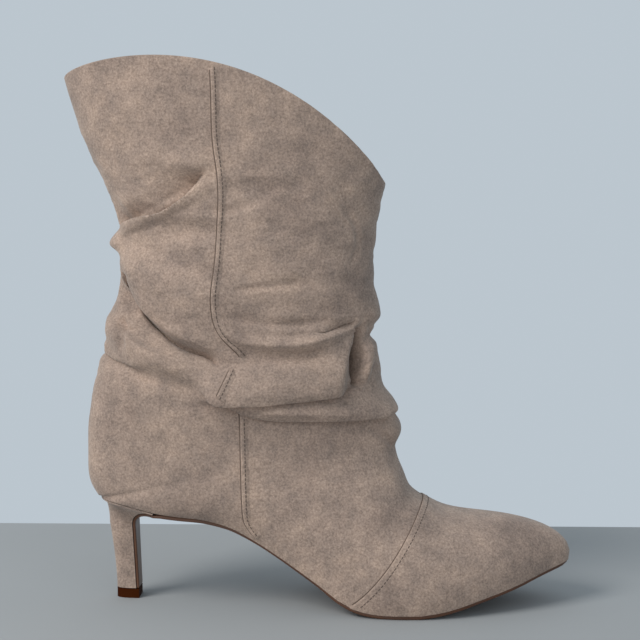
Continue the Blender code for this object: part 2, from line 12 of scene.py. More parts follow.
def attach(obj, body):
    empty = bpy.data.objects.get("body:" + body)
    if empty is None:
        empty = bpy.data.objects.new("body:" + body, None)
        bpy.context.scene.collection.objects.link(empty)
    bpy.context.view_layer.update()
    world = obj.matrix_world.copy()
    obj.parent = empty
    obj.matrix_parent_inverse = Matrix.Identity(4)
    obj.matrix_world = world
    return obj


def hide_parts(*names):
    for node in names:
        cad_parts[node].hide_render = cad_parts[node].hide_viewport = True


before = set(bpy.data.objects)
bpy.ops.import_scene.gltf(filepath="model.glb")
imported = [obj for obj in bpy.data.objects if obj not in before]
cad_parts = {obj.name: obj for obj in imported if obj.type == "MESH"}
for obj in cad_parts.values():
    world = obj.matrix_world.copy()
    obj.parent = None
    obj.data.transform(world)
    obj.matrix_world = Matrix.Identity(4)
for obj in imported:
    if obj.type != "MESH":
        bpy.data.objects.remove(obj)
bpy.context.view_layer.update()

# Sizes of the last
FOOT_LENGTH = 0.2565  # heel back to toe tip, along the floor
HEEL_SET = 0.0202  # the heel back lies this far behind the middle of the heel tip
BALL_WIDTH = 0.078  # sole edge to sole edge, across the ball
HEEL_HEIGHT = 0.0550  # the seat's back above the ball
TOE_SPRING = 0.0215  # the toe tip's sole edge above the ball
INSTEP_HEIGHT = 0.0977  # the lower boot's front, above the sole edge

# Sizes of the shaft
ANKLE_WIDTH = 0.0640
SHAFT_WIDTH = 0.0720
COLLAR_WIDTH = 0.0680
COLLAR_BACK_HEIGHT = 0.2755
COLLAR_FRONT_HEIGHT = 0.2205
COLLAR_SIDE_RISE = 0.0320  # the top edge is cut this much higher at the sides
ANKLE_TUCK = 0.0192  # the back line draws in this far over the heel
COLLAR_FLARE = 0.0297  # and flares out this far again to the collar
FRONT_TUCK = 0.0110  # the front line draws in this far over the instep
FRONT_FLARE = 0.0070  # and flares out this far again to the collar
SIDE_PEAK = 1.7  # how narrowly the top edge rises at the sides
SIDE_SKEW = 0.2  # the peak lies this share towards the back
FOLD_SIZE = 0.0100

# Sizes of the pieces
WALL = 0.0016  # suede with its lining
CLEARANCE = 0.0004
OUTSOLE_THICKNESS = 0.0020
FLAP_THICKNESS = 0.0014
SOLE_INSET = 0.0008  # the sole stands this far inside the upper's edge
WAIST_INSET = 0.0030  # and this much more at the waist
INSOLE_THICKNESS = 0.0020
INSOLE_GAP = 0.0009  # from the insole's edge to the lining, which leans in above it
INSOLE_START_SHARE = 0.038
INSOLE_END_SHARE = 0.950
SOLE_TOE_X = 0.2345
BREAST_X = 0.0165  # where the sole turns down into the flap
BREAST_EDGE = 0.0008  # the heel's front edge under the sole is this deep

# Sizes of the heel, behind and in front of the origin
TIP_WIDTH = 0.0120
TIP_HEIGHT = 0.0050
TIP_FRONT = 0.0060
HEEL_BACK = 0.0065
HEEL_FRONT = 0.0043
HEEL_RAKE = 0.0036  # the column's back runs this much further back at the throat
HEEL_LEAN = 0.0015  # and its front this much
THROAT_WIDTH = 0.0150  # across the column where it starts to flare
THROAT_SHARE = 0.800  # of the way up from the tip to the seat
SEAT_SETBACK = 0.0060  # from the heel back of the foot to the back of the covered heel
COLUMN_SHARE = 0.550  # of the heel's rings are in its column
COLUMN_ROUND = 0.8  # how square the back of a column's section is; 1 is an ellipse
COLUMN_CORNER = 0.7  # and how square its front corners are
SEAT_ROUND = 0.9

# The toe piece laps over the front panel along a line over the table's rows
SEAM_STEP = 0.0007
TOE_SEAM_ROW = 5.9
TOE_SEAM_SWEEP = 1.20  # rows further back at the sole edge
TOE_SEAM_BEND = 1.4
SEAM_SPREAD_ROWS = 4.5  # rows on each side that follow the line
STEP_ROWS = 0.06
TOE_LINING_ROWS = 0.9  # the lining starts this far behind the toe tip

# Sizes of the seams and of the scene
ANKLE_TOP = 0.095
SEAM_MARGIN = 0.0021
STITCH_PITCH = 0.0022
THREAD_FLATNESS = 1.3
THREAD_LIFT = 0.00002
LAP_HEIGHT = 0.0010
FLOOR_END = 0.165

# Fineness of the mesh
FINE_HALF_COLUMNS = 160
HALF_TURN = np.linspace(0, np.pi, 65)  # round the back of the heel, from the outer side to the inner


def table(names, *rows):
    """A table with named columns, as a dict of arrays."""
    return dict(zip(names.split(), np.array(rows, float).T))


# The sole line: height above the ball, as shares of the heel height and of the toe spring
SOLE_LINE = table(
    "along  heel   toe",
    (0.000, 1.020, 0.000),
    (0.020, 1.000, 0.000),
    (0.079, 0.955, 0.000),
    (0.118, 0.909, 0.000),
    (0.157, 0.866, 0.000),
    (0.196, 0.840, 0.000),
    (0.239, 0.818, 0.000),
    (0.270, 0.787, 0.000),
    (0.300, 0.744, 0.000),
    (0.324, 0.691, 0.000),
    (0.352, 0.620, 0.000),
    (0.393, 0.505, 0.000),
    (0.445, 0.349, 0.000),
    (0.484, 0.229, 0.000),
    (0.523, 0.100, 0.000),
    (0.562, 0.030, 0.000),
    (0.601, 0.004, 0.000),
    (0.635, 0.000, 0.000),
    (0.675, 0.000, 0.000),
    (0.720, 0.000, 0.056),
    (0.761, 0.000, 0.158),
    (0.800, 0.000, 0.284),
    (0.878, 0.000, 0.535),
    (0.929, 0.000, 0.735),
    (1.000, 0.000, 0.970),
)

# Sections of the foot from the toe tip to the heel back. Each runs from the sole edge up to the ridge.
# Lengths along are shares of the foot length, the others of the ball width, and ridge heights of the
# instep height.
FOOT = table(
    "along  outer  inner  sway    ridge  rise   half_out half_in low   top   waist",
    (0.9965, 0.020, 0.020, 0.000, 0.9990, 0.038, 0.021, 0.021, 1.00, 1.00, 0.0),
    (0.9860, 0.085, 0.085, 0.000, 0.9840, 0.110, 0.088, 0.088, 1.00, 0.95, 0.0),
    (0.9500, 0.175, 0.165, 0.000, 0.9440, 0.208, 0.181, 0.171, 1.00, 0.90, 0.0),
    (0.8820, 0.315, 0.272, -0.002, 0.8700, 0.322, 0.326, 0.284, 1.00, 0.90, 0.0),
    (0.7990, 0.440, 0.372, -0.005, 0.7920, 0.400, 0.452, 0.388, 1.00, 0.90, 0.0),
    (0.7200, 0.515, 0.442, -0.008, 0.7330, 0.468, 0.529, 0.460, 1.00, 0.90, 0.0),
    (0.6340, 0.533, 0.447, -0.010, 0.6900, 0.545, 0.550, 0.470, 1.00, 0.90, 0.0),
    (0.5520, 0.497, 0.400, -0.010, 0.6655, 0.601, 0.527, 0.445, 1.00, 0.88, 0.2),
    (0.4590, 0.418, 0.320, -0.008, 0.6540, 0.672, 0.483, 0.427, 0.93, 0.85, 0.8),
    (0.3585, 0.348, 0.264, -0.005, 0.6440, 0.734, 0.448, 0.418, 0.83, 0.82, 1.0),
    (0.2575, 0.326, 0.275, -0.002, 0.6380, 0.785, 0.430, 0.415, 0.71, 0.80, 0.5),
    (0.1650, 0.332, 0.312, -0.001, 0.6345, 0.836, 0.420, 0.415, 0.60, 0.78, 0.1),
    (0.0910, 0.322, 0.318, 0.000, 0.6325, 0.882, 0.414, 0.412, 0.53, 0.76, 0.0),
    (0.0520, 0.268, 0.266, 0.000, 0.6305, 0.923, 0.411, 0.410, 0.50, 0.75, 0.0),
    (0.0300, 0.160, 0.160, 0.000, 0.6295, 0.954, 0.410, 0.410, 0.49, 0.75, 0.0),
    (0.0213, 0.000, 0.000, 0.000, 0.6285, 0.983, 0.410, 0.410, 0.48, 0.75, 0.0),
)

# Sections of the leg above the last one of the foot, as rings from the back line to the front line.
# Rises are shares of the way to the collar; wide goes from the ankle's width to the shaft's, open on to
# the collar's.
LEG = table(
    "back   tuck   flare  front  draw   out    wide   open   low   top   side",
    (0.042, 0.042, 0.000, 0.017, 0.045, 0.000, 0.050, 0.000, 0.50, 0.76, 0.00),
    (0.104, 0.000, 0.000, 0.042, 0.136, 0.000, 0.150, 0.000, 0.52, 0.77, 0.00),
    (0.173, 0.021, 0.000, 0.083, 0.273, 0.000, 0.300, 0.000, 0.55, 0.78, 0.00),
    (0.242, 0.151, 0.000, 0.133, 0.409, 0.000, 0.500, 0.000, 0.59, 0.79, 0.00),
    (0.310, 0.292, 0.000, 0.199, 0.545, 0.000, 0.750, 0.000, 0.63, 0.80, 0.00),
    (0.379, 0.536, 0.000, 0.274, 0.682, 0.000, 0.950, 0.000, 0.68, 0.81, 0.00),
    (0.452, 0.740, 0.000, 0.357, 0.818, 0.000, 1.000, 0.000, 0.74, 0.82, 0.05),
    (0.526, 0.950, 0.000, 0.456, 0.909, 0.000, 1.000, 0.000, 0.79, 0.83, 0.12),
    (0.608, 1.000, 0.034, 0.564, 0.955, 0.000, 1.000, 0.000, 0.83, 0.84, 0.25),
    (0.700, 1.000, 0.152, 0.689, 1.000, 0.140, 1.000, 0.300, 0.87, 0.86, 0.45),
    (0.837, 1.000, 0.616, 0.830, 1.000, 0.430, 1.000, 0.650, 0.90, 0.88, 0.72),
    (1.000, 1.000, 1.000, 1.000, 1.000, 1.000, 1.000, 1.000, 0.90, 0.90, 1.00),
)

# Folds of the slouched shaft, a row each, from turn a to turn b around the shaft: 0 and 1 are the back, a
# quarter is the outer side, a half the front. Levels go from the heel seat, 0, to the collar's back, 1, and
# bow bends the line. Low and high are how far the fold reaches below and above its line; these, out and up
# are in parts of FOLD_SIZE. A fold that goes out and down hangs over what is below it.
FOLDS = table(
    "turn_a turn_b level_a level_b bow    low  high  out    up    fade",
    (0.000, 0.270, 0.590, 0.460, 0.018, 2.40, 1.10, 0.48, -0.15, 0.35),  # the bulge over the heel
    (-0.075, 0.075, 0.613, 0.613, 0.000, 0.70, 0.80, 0.58, -0.10, 0.50),  # its tip at the back
    (0.020, 0.240, 0.640, 0.768, -0.030, 0.55, 0.55, 0.30, 0.00, 0.40),  # the ridge over the bulge
    (0.100, 0.260, 0.640, 0.628, 0.006, 0.80, 0.80, -0.25, 0.00, 0.40),  # the hollow under that ridge
    (0.035, 0.245, 0.684, 0.792, -0.014, 0.70, 1.10, -0.26, 0.00, 0.40),  # the hollow over it
    (0.025, 0.265, 0.540, 0.316, -0.030, 0.60, 0.60, -0.60, 0.00, 0.25),  # the deep crease behind the low roll
    (-0.015, 0.250, 0.446, 0.250, 0.016, 1.10, 0.75, 0.55, 0.35, 0.38),  # the low roll at the back
    (-0.080, 0.235, 0.372, 0.262, 0.012, 0.45, 0.45, -0.18, 0.00, 0.30),  # the crease under it
    (0.205, 0.410, 0.270, 0.304, -0.004, 0.85, 2.00, 0.72, -0.55, 0.15),  # the hanging roll at the side
    (0.390, 0.475, 0.260, 0.400, 0.000, 1.00, 1.00, 0.35, 0.00, 0.40),  # its end, turned up at the front
    (0.365, 0.440, 0.255, 0.410, 0.000, 1.20, 1.20, -0.65, 0.00, 0.35),  # the deep hollow behind that end
    (0.232, 0.640, 0.236, 0.236, -0.016, 0.65, 0.95, 0.50, -0.22, 0.16),  # the low band round the front
    (0.400, 0.600, 0.163, 0.163, 0.000, 1.10, 1.10, 0.45, 0.00, 0.40),  # the bulge of the instep
    (0.400, 0.600, 0.445, 0.445, 0.000, 0.80, 1.60, 0.35, -0.10, 0.40),  # the bulge of the shin
    (0.420, 0.580, 0.386, 0.386, 0.000, 0.50, 0.45, -0.30, 0.00, 0.40),  # the notch under it
    (0.350, 0.420, 0.405, 0.432, 0.000, 0.40, 0.40, -0.25, 0.00, 0.40),  # a short crease over the deep hollow
    (0.220, 0.415, 0.410, 0.430, -0.042, 0.50, 0.50, 0.26, 0.00, 0.35),  # a soft ridge over the hanging roll
    (0.222, 0.385, 0.348, 0.360, 0.000, 0.40, 0.40, -0.20, 0.00, 0.35),  # the hollow between the two
    (0.230, 0.385, 0.446, 0.430, -0.010, 0.40, 0.40, -0.12, 0.00, 0.35),  # a faint crease over the ridge
    (0.200, 0.370, 0.715, 0.715, 0.030, 0.60, 0.60, -0.12, 0.00, 0.40),  # a faint crease under the collar
    (0.560, 0.970, 0.255, 0.360, 0.000, 0.80, 1.60, 0.60, -0.50, 0.20),  # the hanging roll of the inner side
    (0.600, 0.985, 0.540, 0.600, -0.03, 2.00, 1.20, 0.40, -0.10, 0.30),  # the bulge over it
    (0.560, 0.960, 0.420, 0.470, 0.000, 0.90, 0.90, -0.40, 0.00, 0.30),  # and the crease between them
)
LAST_FOOT_ROW = len(FOOT["along"]) - 1
LAST_ROW = LAST_FOOT_ROW + len(LEG["back"])
SOLE_LEVEL = OUTSOLE_THICKNESS + CLEARANCE  # the upper's edge above the floor at the ball


def smooth_curve(values, at):
    """A natural cubic spline through evenly numbered values, read at fractional numbers."""
    values = np.asarray(values, float)
    count = len(values)
    bend = np.zeros(count)
    system = 4 * np.eye(count - 2) + np.eye(count - 2, k=1) + np.eye(count - 2, k=-1)
    bend[1:-1] = np.linalg.solve(system, 6 * np.diff(values, 2))
    start = np.clip(np.floor(at).astype(int), 0, count - 2)
    after = at - start
    before = 1 - after
    straight = before * values[start] + after * values[start + 1]
    return straight + ((before**3 - before) * bend[start] + (after**3 - after) * bend[start + 1]) / 6


def steady_curve(places, values, at):
    """A smooth curve that never overshoots its values, and is flat where they are."""
    step = np.diff(places)
    slope = np.diff(values) / step
    tangent = np.concatenate([slope[:1], np.zeros(len(slope) - 1), slope[-1:]])
    same_way = slope[:-1] * slope[1:] > 0
    low, high = slope[:-1][same_way], slope[1:][same_way]
    tangent[1:-1][same_way] = 2 * low * high / (low + high)
    start = np.clip(np.searchsorted(places, at, side="right") - 1, 0, len(step) - 1)
    share = np.clip((at - places[start]) / step[start], 0, 1)
    rise = share**2 * (3 - 2 * share)
    begin = share * (1 - share) ** 2 * step[start]
    end = -(share**2) * (1 - share) * step[start]
    eased = values[start] + rise * (values[start + 1] - values[start])
    return eased + begin * tangent[start] + end * tangent[start + 1]


def along_to_x(along):
    return along * FOOT_LENGTH - HEEL_SET


def sole_height(x):
    """Height of the upper's lower edge above the floor."""
    along = (np.asarray(x, float) + HEEL_SET) / FOOT_LENGTH
    heel = steady_curve(SOLE_LINE["along"], SOLE_LINE["heel"], along)
    toe = steady_curve(SOLE_LINE["along"], SOLE_LINE["toe"], along)
    return SOLE_LEVEL + heel * HEEL_HEIGHT + toe * TOE_SPRING


def blend(low, high, share):
    return low + (high - low) * share


def leg_rows():
    """The leg's sections in metres: back line, front line and half width."""
    back_x = -HEEL_SET + LEG["tuck"] * ANKLE_TUCK - LEG["flare"] * COLLAR_FLARE
    back_z = blend(SOLE_LEVEL + HEEL_HEIGHT, COLLAR_BACK_HEIGHT, LEG["back"])
    front_x = along_to_x(FOOT["ridge"][-1]) - LEG["draw"] * FRONT_TUCK + LEG["out"] * FRONT_FLARE
    instep = SOLE_LEVEL + INSTEP_HEIGHT
    front_z = blend(instep, COLLAR_FRONT_HEIGHT, LEG["front"])
    half = blend(ANKLE_WIDTH, SHAFT_WIDTH, LEG["wide"]) / 2
    half = blend(half, COLLAR_WIDTH / 2, LEG["open"])
    return back_x, back_z, front_x, front_z, half


def section_values(row):
    """What defines the section at each fractional row number, in metres."""
    back_x, back_z, front_x, front_z, half = leg_rows()
    foot_ridge_x = along_to_x(FOOT["ridge"])
    foot_ridge_z = sole_height(foot_ridge_x) + FOOT["rise"] * INSTEP_HEIGHT
    none = np.zeros(len(half))
    joined = {
        "ridge_x": (foot_ridge_x, front_x),
        "ridge_z": (foot_ridge_z, front_z),
        "half_outer": (FOOT["half_out"] * BALL_WIDTH, half),
        "half_inner": (FOOT["half_in"] * BALL_WIDTH, half),
        "sway": (FOOT["sway"] * BALL_WIDTH, none),
        "low": (FOOT["low"], LEG["low"]),
        "top": (FOOT["top"], LEG["top"]),
        "side": (0 * FOOT["sway"], LEG["side"] * COLLAR_SIDE_RISE),
    }
    values = {name: smooth_curve(np.concatenate(parts), row) for name, parts in joined.items()}
    in_foot = np.minimum(row, LAST_FOOT_ROW)
    in_leg = np.maximum(row - LAST_FOOT_ROW, 0)
    heel_x = along_to_x(FOOT["along"][-1])
    foot_x = along_to_x(smooth_curve(FOOT["along"], in_foot))
    leg_x = smooth_curve(np.concatenate([[heel_x], back_x]), in_leg)
    leg_z = smooth_curve(np.concatenate([[sole_height(heel_x)], back_z]), in_leg)
    is_foot = row < LAST_FOOT_ROW
    values["under_x"] = np.where(is_foot, foot_x, leg_x)
    values["under_z"] = np.where(is_foot, sole_height(foot_x), leg_z)
    for side in ("outer", "inner"):
        width = np.maximum(smooth_curve(FOOT[side], in_foot), 0) * BALL_WIDTH
        values["foot_" + side] = np.where(is_foot, width, 0.0)
    return values


def base_point(row, across):
    """The upper's outer face before it slouches, and how far round the shaft each point is.

    Across is -1 at the outer sole edge or the back line, 0 on the ridge and 1 at the inner sole edge.
    """
    row, across = np.broadcast_arrays(np.asarray(row, float), np.asarray(across, float))
    v = section_values(row)
    outer = across < 0
    half = np.where(outer, v["half_outer"], v["half_inner"])
    foot = np.where(outer, v["foot_outer"], v["foot_inner"])
    start = np.arcsin(np.clip(foot / half, 0, 1) ** (1 / v["low"]))
    angle = blend(np.pi, start, np.abs(across))
    share = (np.cos(start) - np.cos(angle)) / (1 + np.cos(start))
    sine = np.clip(np.sin(angle), 0, 1)
    reach = half * sine ** blend(v["low"], v["top"], share)
    x = blend(v["under_x"], v["ridge_x"], share)
    y = v["sway"] + np.where(outer, -reach, reach)
    z = blend(v["under_z"], v["ridge_z"], share)
    z = z + v["side"] * sine**SIDE_PEAK * (1 - SIDE_SKEW * np.cos(angle))
    turn = np.where(outer, angle, 2 * np.pi - angle) / (2 * np.pi)
    return np.stack([x, y, z], -1), turn


def ease(share):
    share = np.clip(share, 0, 1)
    return share**2 * (3 - 2 * share)


def fold_shift(turn, height):
    """How far the folds push the upper out and up."""
    seat = SOLE_LEVEL + HEEL_HEIGHT
    span = COLLAR_BACK_HEIGHT - seat
    out = np.zeros_like(turn)
    up = np.zeros_like(turn)
    for fold in zip(*FOLDS.values()):
        turn_a, turn_b, level_a, level_b, bow, low, high, fold_out, fold_up, fade = fold
        for around in (turn, turn - 1):
            share = (around - turn_a) / (turn_b - turn_a)
            line = blend(level_a, level_b, share) + 4 * bow * share * (1 - share)
            off = height - seat - line * span
            reach = np.where(off > 0, high, low) * FOLD_SIZE
            hump = np.clip(1 - (off / reach) ** 2, 0, 1) ** 2
            hump = hump * ease(share / fade) * ease((1 - share) / fade)
            out = out + fold_out * FOLD_SIZE * hump
            up = up + fold_up * FOLD_SIZE * hump
    return out, up


def toe_seam_row(across):
    """The row that the toe piece's edge follows."""
    return TOE_SEAM_ROW + TOE_SEAM_SWEEP * np.abs(across) ** TOE_SEAM_BEND


def upper_point(row, across):
    """The upper's outer face, with its folds and the step at the toe piece's edge."""
    point, turn = base_point(row, across)
    normal = face_normals(lambda r, a: base_point(r, a)[0], row, across)
    level = normal * [1, 1, 0]
    level = level / np.maximum(np.linalg.norm(level, axis=-1, keepdims=True), 1e-9)
    out, up = fold_shift(turn, point[..., 2])
    point = point + out[..., None] * level
    point[..., 2] += up
    step = SEAM_STEP * ease((toe_seam_row(across) - row) / STEP_ROWS + 0.5) * ease(row / 0.8)
    return point + step[..., None] * normal


def face_normals(surface, row, across):
    """Unit normals of a surface over rows and across, pointing out of the boot."""
    step_row, step_across = 0.03, 0.006
    before, after = np.clip(row - step_row, 0, LAST_ROW), np.clip(row + step_row, 0, LAST_ROW)
    along = surface(after, across) - surface(before, across)
    left, right = np.clip(across - step_across, -1, 1), np.clip(across + step_across, -1, 1)
    around = surface(row, right) - surface(row, left)
    normal = np.cross(around, along)
    return normal / np.maximum(np.linalg.norm(normal, axis=-1, keepdims=True), 1e-12)


def sole_edge(x, side, inset, waist_inset=0.0):
    """Distance of the upper's lower edge from the middle line at x, less an inset square to the edge."""
    row = np.linspace(0, LAST_FOOT_ROW, 400)
    values = section_values(row)
    sign = -1 if side == "outer" else 1
    edge_x = values["under_x"]
    edge_y = values["sway"] + sign * values["foot_" + side]
    along = np.stack([np.gradient(edge_x), np.gradient(edge_y)], -1)
    along = along / np.linalg.norm(along, axis=-1, keepdims=True)
    inward = np.stack([along[:, 1], -along[:, 0]], -1) * -sign
    waist = np.interp(edge_x, along_to_x(FOOT["along"])[::-1], FOOT["waist"][::-1])
    moved = np.stack([edge_x, edge_y], -1) + inward * (inset + waist_inset * waist)[:, None]
    return np.interp(x, moved[::-1, 0], moved[::-1, 1])


# Meshes


def shape_object(name, points, faces, material, angle=60):
    mesh = bpy.data.meshes.new(name)
    mesh.from_pydata([tuple(p) for p in points], [], faces)
    work = bmesh.new()
    work.from_mesh(mesh)
    bmesh.ops.remove_doubles(work, verts=work.verts, dist=1e-7)
    bmesh.ops.recalc_face_normals(work, faces=work.faces)
    work.to_mesh(mesh)
    work.free()
    mesh.materials.append(material)
    mesh.shade_smooth()
    mesh.set_sharp_from_angle(angle=math.radians(angle))
    piece = bpy.data.objects.new(name, mesh)
    bpy.context.scene.collection.objects.link(piece)
    return piece


def tidy_faces(faces):
    """Faces without repeated corners."""
    short = [tuple(int(corner) for corner in dict.fromkeys(face)) for face in faces]
    return [face for face in short if len(face) > 2]


def skin(rings):
    """Points and faces of a solid through closed rings of equal length."""
    rings = np.asarray(rings)
    count = rings.shape[1]
    numbers = np.arange(rings.shape[0] * count).reshape(rings.shape[:2])
    faces = []
    for i in range(len(rings) - 1):
        for j in range(count):
            k = (j + 1) % count
            faces.append([numbers[i, j], numbers[i, k], numbers[i + 1, k], numbers[i + 1, j]])
    for end in (numbers[0], numbers[-1]):
        for j in range((count - 1) // 2):
            k = count - 1 - j
            faces.append([end[j], end[j + 1], end[k - 1], end[k]])
    return rings.reshape(-1, 3), tidy_faces(faces)


def sole_stations(start, end):
    """Places along the sole, shared by the boards so that their faces stay parallel."""
    x = along_to_x(np.linspace(0, 1, 109))
    return np.concatenate([[start], x[(x > start + OUTSOLE_THICKNESS) & (x < end - OUTSOLE_THICKNESS)], [end]])


def make_insole(material):
    """A board under the foot, level across its width, its length following the sole line."""
    rings = []
    stations = sole_stations(along_to_x(INSOLE_START_SHARE), along_to_x(INSOLE_END_SHARE))
    outer = sole_edge(stations, "outer", WALL + INSOLE_GAP)
    inner = sole_edge(stations, "inner", WALL + INSOLE_GAP)
    under = sole_height(stations)
    for x, low_y, high_y, z in zip(stations, outer, inner, under):
        y = np.linspace(low_y, high_y, 5)
        top = [(x, across, z + INSOLE_THICKNESS) for across in y]
        rings.append(top + [(x, across, z) for across in y[::-1]])
    points, faces = skin(rings)
    return shape_object("insole_shown", points, faces, material)


def breast_path(share):
    """The heel's front face from the side, tip 0 to sole 1, and how far each place has flared."""
    column = np.clip(share / COLUMN_SHARE, 0, 1)
    flare = np.clip((share - COLUMN_SHARE) / (1 - COLUMN_SHARE), 0, 1) * np.pi / 2
    wide, tall = 1 - np.cos(flare), np.sin(flare)
    tip = TIP_HEIGHT + CLEARANCE
    seat = sole_height(BREAST_X) - CLEARANCE - BREAST_EDGE
    throat = blend(tip, seat, THROAT_SHARE)
    column_x = blend(HEEL_FRONT, HEEL_FRONT - HEEL_LEAN, column)
    x = blend(column_x, BREAST_X, wide)
    z = blend(blend(tip, throat, column), seat, tall)
    return x, z, wide, tall


def column_half_width(share):
    return blend(TIP_WIDTH, THROAT_WIDTH, np.clip(share / COLUMN_SHARE, 0, 1) ** 1.5) / 2


def column_section(front_x, back_x, half_width):
    """A section of the heel's column: flat in front, round behind."""
    x = front_x - (front_x - back_x) * np.sin(HALF_TURN) ** COLUMN_ROUND
    y = -half_width * np.sign(np.cos(HALF_TURN)) * np.abs(np.cos(HALF_TURN)) ** COLUMN_CORNER
    return x, y


def make_heel(material):
    """The covered heel, a slim column that flares out to the seat."""
    seat_x = BREAST_X - (BREAST_X + HEEL_SET - SEAT_SETBACK) * np.sin(HALF_TURN) ** SEAT_ROUND
    outer, inner = sole_edge(seat_x, "outer", CLEARANCE), sole_edge(seat_x, "inner", CLEARANCE)
    seat_y = np.where(HALF_TURN < np.pi / 2, outer, inner)
    seat_y[len(HALF_TURN) // 2] = 0
    seat_z = sole_height(seat_x) - CLEARANCE
    rings = []
    for share in [*np.linspace(0, COLUMN_SHARE, 20), *np.linspace(COLUMN_SHARE, 1, 28)[1:]]:
        column = min(share / COLUMN_SHARE, 1)
        front_x = blend(HEEL_FRONT, HEEL_FRONT - HEEL_LEAN, column)
        back_x = blend(-HEEL_BACK, -HEEL_BACK - HEEL_RAKE, column**1.6)
        x, y = column_section(front_x, back_x, column_half_width(share))
        throat_z = breast_path(min(share, COLUMN_SHARE))[1]
        wide, tall = breast_path(share)[2:]
        z = blend(throat_z, seat_z - BREAST_EDGE, tall)
        rings.append(np.stack([blend(x, seat_x, wide), blend(y, seat_y, wide), z], -1))
    rings.append(np.stack([seat_x, seat_y, seat_z], -1))
    points, faces = skin(rings)
    return shape_object("heel_shown", points, faces, material)


def make_outsole(material):
    """The sole with its flap down the front of the heel."""
    stations = sole_stations(BREAST_X + 2 * OUTSOLE_THICKNESS, SOLE_TOE_X)[::-1]
    outer = sole_edge(stations, "outer", SOLE_INSET, WAIST_INSET)
    inner = sole_edge(stations, "inner", SOLE_INSET, WAIST_INSET)
    rings = []
    for x, low_y, high_y, z in zip(stations, outer, inner, sole_height(stations) - CLEARANCE):
        y = np.linspace(low_y, high_y, 5)
        top = [(x, across, z) for across in y]
        rings.append(top + [(x, across, z - OUTSOLE_THICKNESS) for across in y[::-1]])
    shares = np.linspace(1, 0, 40)
    flap_x, flap_z, wide, _ = breast_path(shares)
    slope = np.stack([np.gradient(flap_x), np.gradient(flap_z)], -1)
    slope = slope / np.linalg.norm(slope, axis=-1, keepdims=True)
    forward = np.stack([-slope[:, 1], slope[:, 0]], -1)
    back = np.stack([flap_x, flap_z], -1) + forward * CLEARANCE
    front = back + forward * FLAP_THICKNESS
    slim = column_half_width(shares)
    low = blend(-slim, sole_edge(BREAST_X, "outer", SOLE_INSET, WAIST_INSET), wide)
    high = blend(slim, sole_edge(BREAST_X, "inner", SOLE_INSET, WAIST_INSET), wide)
    for behind, ahead, low_y, high_y in zip(back, front, low, high):
        y = np.linspace(low_y, high_y, 5)
        ring = [(behind[0], across, behind[1]) for across in y]
        rings.append(ring + [(ahead[0], across, ahead[1]) for across in y[::-1]])
    points, faces = skin(rings)
    return shape_object("outsole_shown", points, faces, material)


def make_top_lift(material):
    """The heel tip, which stands on the floor."""
    x, y = column_section(TIP_FRONT, -HEEL_BACK, TIP_WIDTH / 2)
    rings = [np.stack([x, y, np.full(len(x), height)], -1) for height in (0, TIP_HEIGHT)]
    points, faces = skin(rings)
    return shape_object("top_lift_shown", points, faces, material)


# Looks


def unevenness(turn, height, size, seed):
    """Soft unevenness between -1 and 1 at a given size."""
    around = np.stack([np.cos(turn * 2 * np.pi), np.sin(turn * 2 * np.pi)], -1) * 0.06
    places = np.concatenate([around, height[..., None]], -1).reshape(-1, 3) / size + seed
    values = [noise.noise(Vector(place)) for place in places]
    return np.array(values).reshape(turn.shape)


# Where the shaft folds over itself, each along a given line of turns and levels, from left to right or
# upwards. The lip is on the high or the low side of its line, reaches so far, stands out and slides over
# the line. The suede under it has its own reach, and sinks so deep. All in millimetres.
LAPS = (
    # the low roll over the bulge behind it
    ("low", 5.0, 1.0, 3.0, 10.0, 4.6,
     (0.040, 0.548), (0.064, 0.506), (0.103, 0.442), (0.145, 0.393), (0.189, 0.351), (0.241, 0.327)),
    # the ridge from the tip of the bulge up to the seam, over the shadow above it
    ("low", 4.0, 0.6, 1.2, 16.0, 7.5, (0.030, 0.646), (0.060, 0.655), (0.106, 0.670), (0.140, 0.678),
     (0.169, 0.700), (0.194, 0.732), (0.226, 0.790)),
    # the low roll over the heel's quarter
    ("high", 4.0, 0.5, 1.3, 3.0, 1.2,
     (-0.050, 0.350), (0.031, 0.348), (0.071, 0.339), (0.108, 0.328), (0.150, 0.306)),
    # the hanging roll over the low band
    ("high", 4.0, 1.0, 2.6, 6.0, 3.4,
     (0.215, 0.274), (0.236, 0.264), (0.268, 0.263), (0.321, 0.265), (0.356, 0.275), (0.394, 0.282)),
    # the hanging roll's end over the hole behind it
    ("high", 3.0, 0.7, 1.8, 6.5, 15.0,
     (0.397, 0.268), (0.399, 0.295), (0.402, 0.320), (0.406, 0.350), (0.408, 0.384), (0.415, 0.418)),
    # the hole's front rim
    ("low", 3.0, 0.9, 1.6, 5.0, 14.0,
     (0.402, 0.272), (0.414, 0.305), (0.426, 0.345), (0.429, 0.378), (0.420, 0.410)),
    # the front panel over the top of the hanging roll
    ("high", 3.0, 0.7, 1.8, 4.0, 2.2, (0.345, 0.404), (0.372, 0.414), (0.392, 0.423), (0.414, 0.431)),
    # the low band over the lower boot
    ("high", 3.5, 0.9, 2.2, 4.0, 2.2,
     (0.236, 0.250), (0.250, 0.230), (0.281, 0.208), (0.321, 0.203), (0.412, 0.208), (0.470, 0.220)),
    # the inner side
    ("high", 4.0, 0.9, 2.2, 5.0, 2.4,
     (0.545, 0.240), (0.620, 0.240), (0.720, 0.256), (0.800, 0.294), (0.880, 0.306), (0.960, 0.350)),
    ("low", 5.0, 0.9, 2.2, 7.0, 2.8,
     (0.570, 0.446), (0.640, 0.416), (0.730, 0.420), (0.800, 0.452), (0.880, 0.458), (0.960, 0.506)),
    ("high", 3.0, 0.5, 1.2, 5.0, 2.0, (0.640, 0.336), (0.690, 0.352), (0.750, 0.346), (0.810, 0.372)),
)

